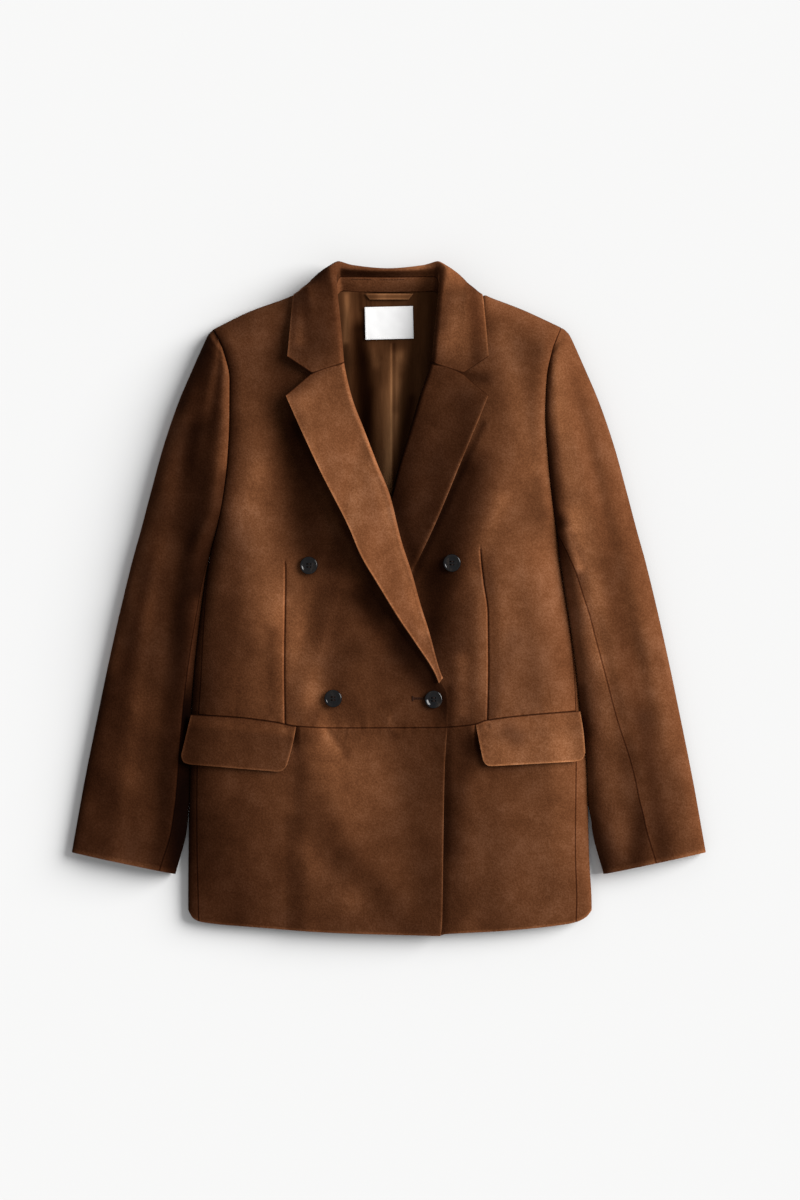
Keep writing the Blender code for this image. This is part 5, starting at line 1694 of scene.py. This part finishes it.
HOLE_FROM, HOLE_TO, HOLE_Y = 26.7, 47.5, -111.0
HOLE_LIP = 0.15         # from the slit's middle to where a stitch starts
HOLE_STITCH = 1.3       # and to where it ends
BAR_HALF = 2.6          # half the length of the bar at the slit's inner end
bm = bmesh.new()
for x in np.linspace(HOLE_FROM, HOLE_TO, 30):
    for way in (-1, 1):
        near, far = (HOLE_Y + way * away for away in (HOLE_LIP, HOLE_STITCH))
        start = (x, near, height_at(RIGHT, x, near) + 0.1)
        stitch(bm, start, (x, far, height_at(RIGHT, x, far) + 0.02), 0.75, 0.25, 4)
for y in np.linspace(HOLE_Y - BAR_HALF, HOLE_Y + BAR_HALF, 8):
    z = height_at(RIGHT, HOLE_FROM - 0.8, y) + 0.1
    stitch(bm, (HOLE_FROM - 1.7, y, z), (HOLE_FROM + 0.3, y, z), 0.8, 0.4, 4)
thread_piece("Buttonhole_stitches", bm, BROWN_THREAD)

# %% Label and stand stitches
def stitches_on(bm, surface, places, half_u, half_v, lift, thick, sag):
    """Stitches on a piece's face: at each (u, v), and half_u or half_v long to either side."""
    for u, v in places:
        ways = ((np.array(u + way * half_u), np.array(v + way * half_v)) for way in (-1, 1))
        ends = (surface(*way) for way in ways)
        start, end = (Vector([float(c) for c in place]) + Vector(lift) for place in ends)
        stitch(bm, start, end, thick, sag, 3)


LABEL_THREAD = ((0, 0, 0.02), 0.3, 0.06)            # lift, thickness and sag
STAND_THREAD = ((0, -0.15, 0.15), 0.55, 0.1)
STAND_ROWS = ((0.402, 0.455), (0.483, 0.539))       # from and to, round the neck
bm = bmesh.new()
level = [(u, v) for v in (0.035, 0.965) for u in np.linspace(0.03, 0.97, 25)]
upright = [(u, v) for u in (0.022, 0.978) for v in np.linspace(0.06, 0.94, 17)]
stitches_on(bm, label, level, 0.012, 0, *LABEL_THREAD)
stitches_on(bm, label, upright, 0, 0.018, *LABEL_THREAD)
thread_piece("Label_stitches", bm, WHITE_THREAD)

bm = bmesh.new()
row = [(u, 0.85) for start, end in STAND_ROWS for u in np.linspace(start, end, 9)]
stitches_on(bm, collar_stand, row, 0.0024, 0, *STAND_THREAD)
thread_piece("Stand_stitches", bm, BROWN_THREAD)

# %% [markdown]
# ## Floor, light and camera
#
# The coat lies on a plain white floor. A large low light from the right rakes across it, so each
# slope shows, and a pale world fills the shadows. A sun lamp with a wide angle does this evenly
# over the whole floor, where an area lamp would leave one side brighter. The camera looks straight
# down through a long lens, so that the outline stays true.

# %% Floor
bm = bmesh.new()
bmesh.ops.create_grid(bm, x_segments=1, y_segments=1, size=20.0)
bmesh.ops.translate(bm, verts=bm.verts, vec=(0, 0, -0.0002))
floor_cloth, _, _ = new_material(
    "Floor_white", Roughness=0.9, Base_Color=(0.706, 0.706, 0.706, 1.0), Specular_IOR_Level=0.0
)
floor = finish_mesh(bm, "Floor", floor_cloth)
print("floor: 40 m wide, a fifth of a millimetre under the coat")

# %% Light
SUN_HIGH = 30.0
SUN_TURN = 22.0         # from +X towards +Y
SUN_STRONG = 5.6
SUN_WIDE = 0.72         # its angle: a wide sun makes soft shadows
WORLD_LIGHT = 0.45
sun_data = bpy.data.lights.new("Low_window", "SUN")
sun_data.energy = SUN_STRONG
sun_data.angle = SUN_WIDE
sun_data.color = (1.0, 0.995, 0.985)
sun = bpy.data.objects.new("Low_window", sun_data)
high, turn = math.radians(SUN_HIGH), math.radians(SUN_TURN)
towards = Vector((math.cos(high) * math.cos(turn), math.cos(high) * math.sin(turn), math.sin(high)))
sun.rotation_euler = towards.to_track_quat("Z", "Y").to_euler()
bpy.context.scene.collection.objects.link(sun)
world = bpy.data.worlds.new("Studio")
world.use_nodes = True
sky = world.node_tree.nodes["Background"]
sky.inputs["Color"].default_value = (0.98, 0.99, 1.0, 1.0)
sky.inputs["Strength"].default_value = WORLD_LIGHT
bpy.context.scene.world = world
bpy.context.scene.view_settings.view_transform = "Standard"
print("the sun stands", SUN_HIGH, "degrees high, and the sky adds", WORLD_LIGHT)

# %% Camera
FRAME_HIGH = 1.344          # metres that the camera sees, at the height of the chest
FRAME_X, FRAME_Y = 0.0118, -0.0011
CAMERA_UP = 5.0
CHEST_UP = 0.02
SENSOR = 36.0
camera_data = bpy.data.cameras.new("Overhead")
camera_data.sensor_fit = "VERTICAL"
camera_data.sensor_height = SENSOR
camera_data.lens = SENSOR * (CAMERA_UP - CHEST_UP) / FRAME_HIGH
camera = bpy.data.objects.new("Overhead", camera_data)
camera.location = (FRAME_X, FRAME_Y, CAMERA_UP)
bpy.context.scene.collection.objects.link(camera)
bpy.context.scene.camera = camera
print("lens:", round(camera_data.lens), "mm, looking down from", CAMERA_UP, "m")
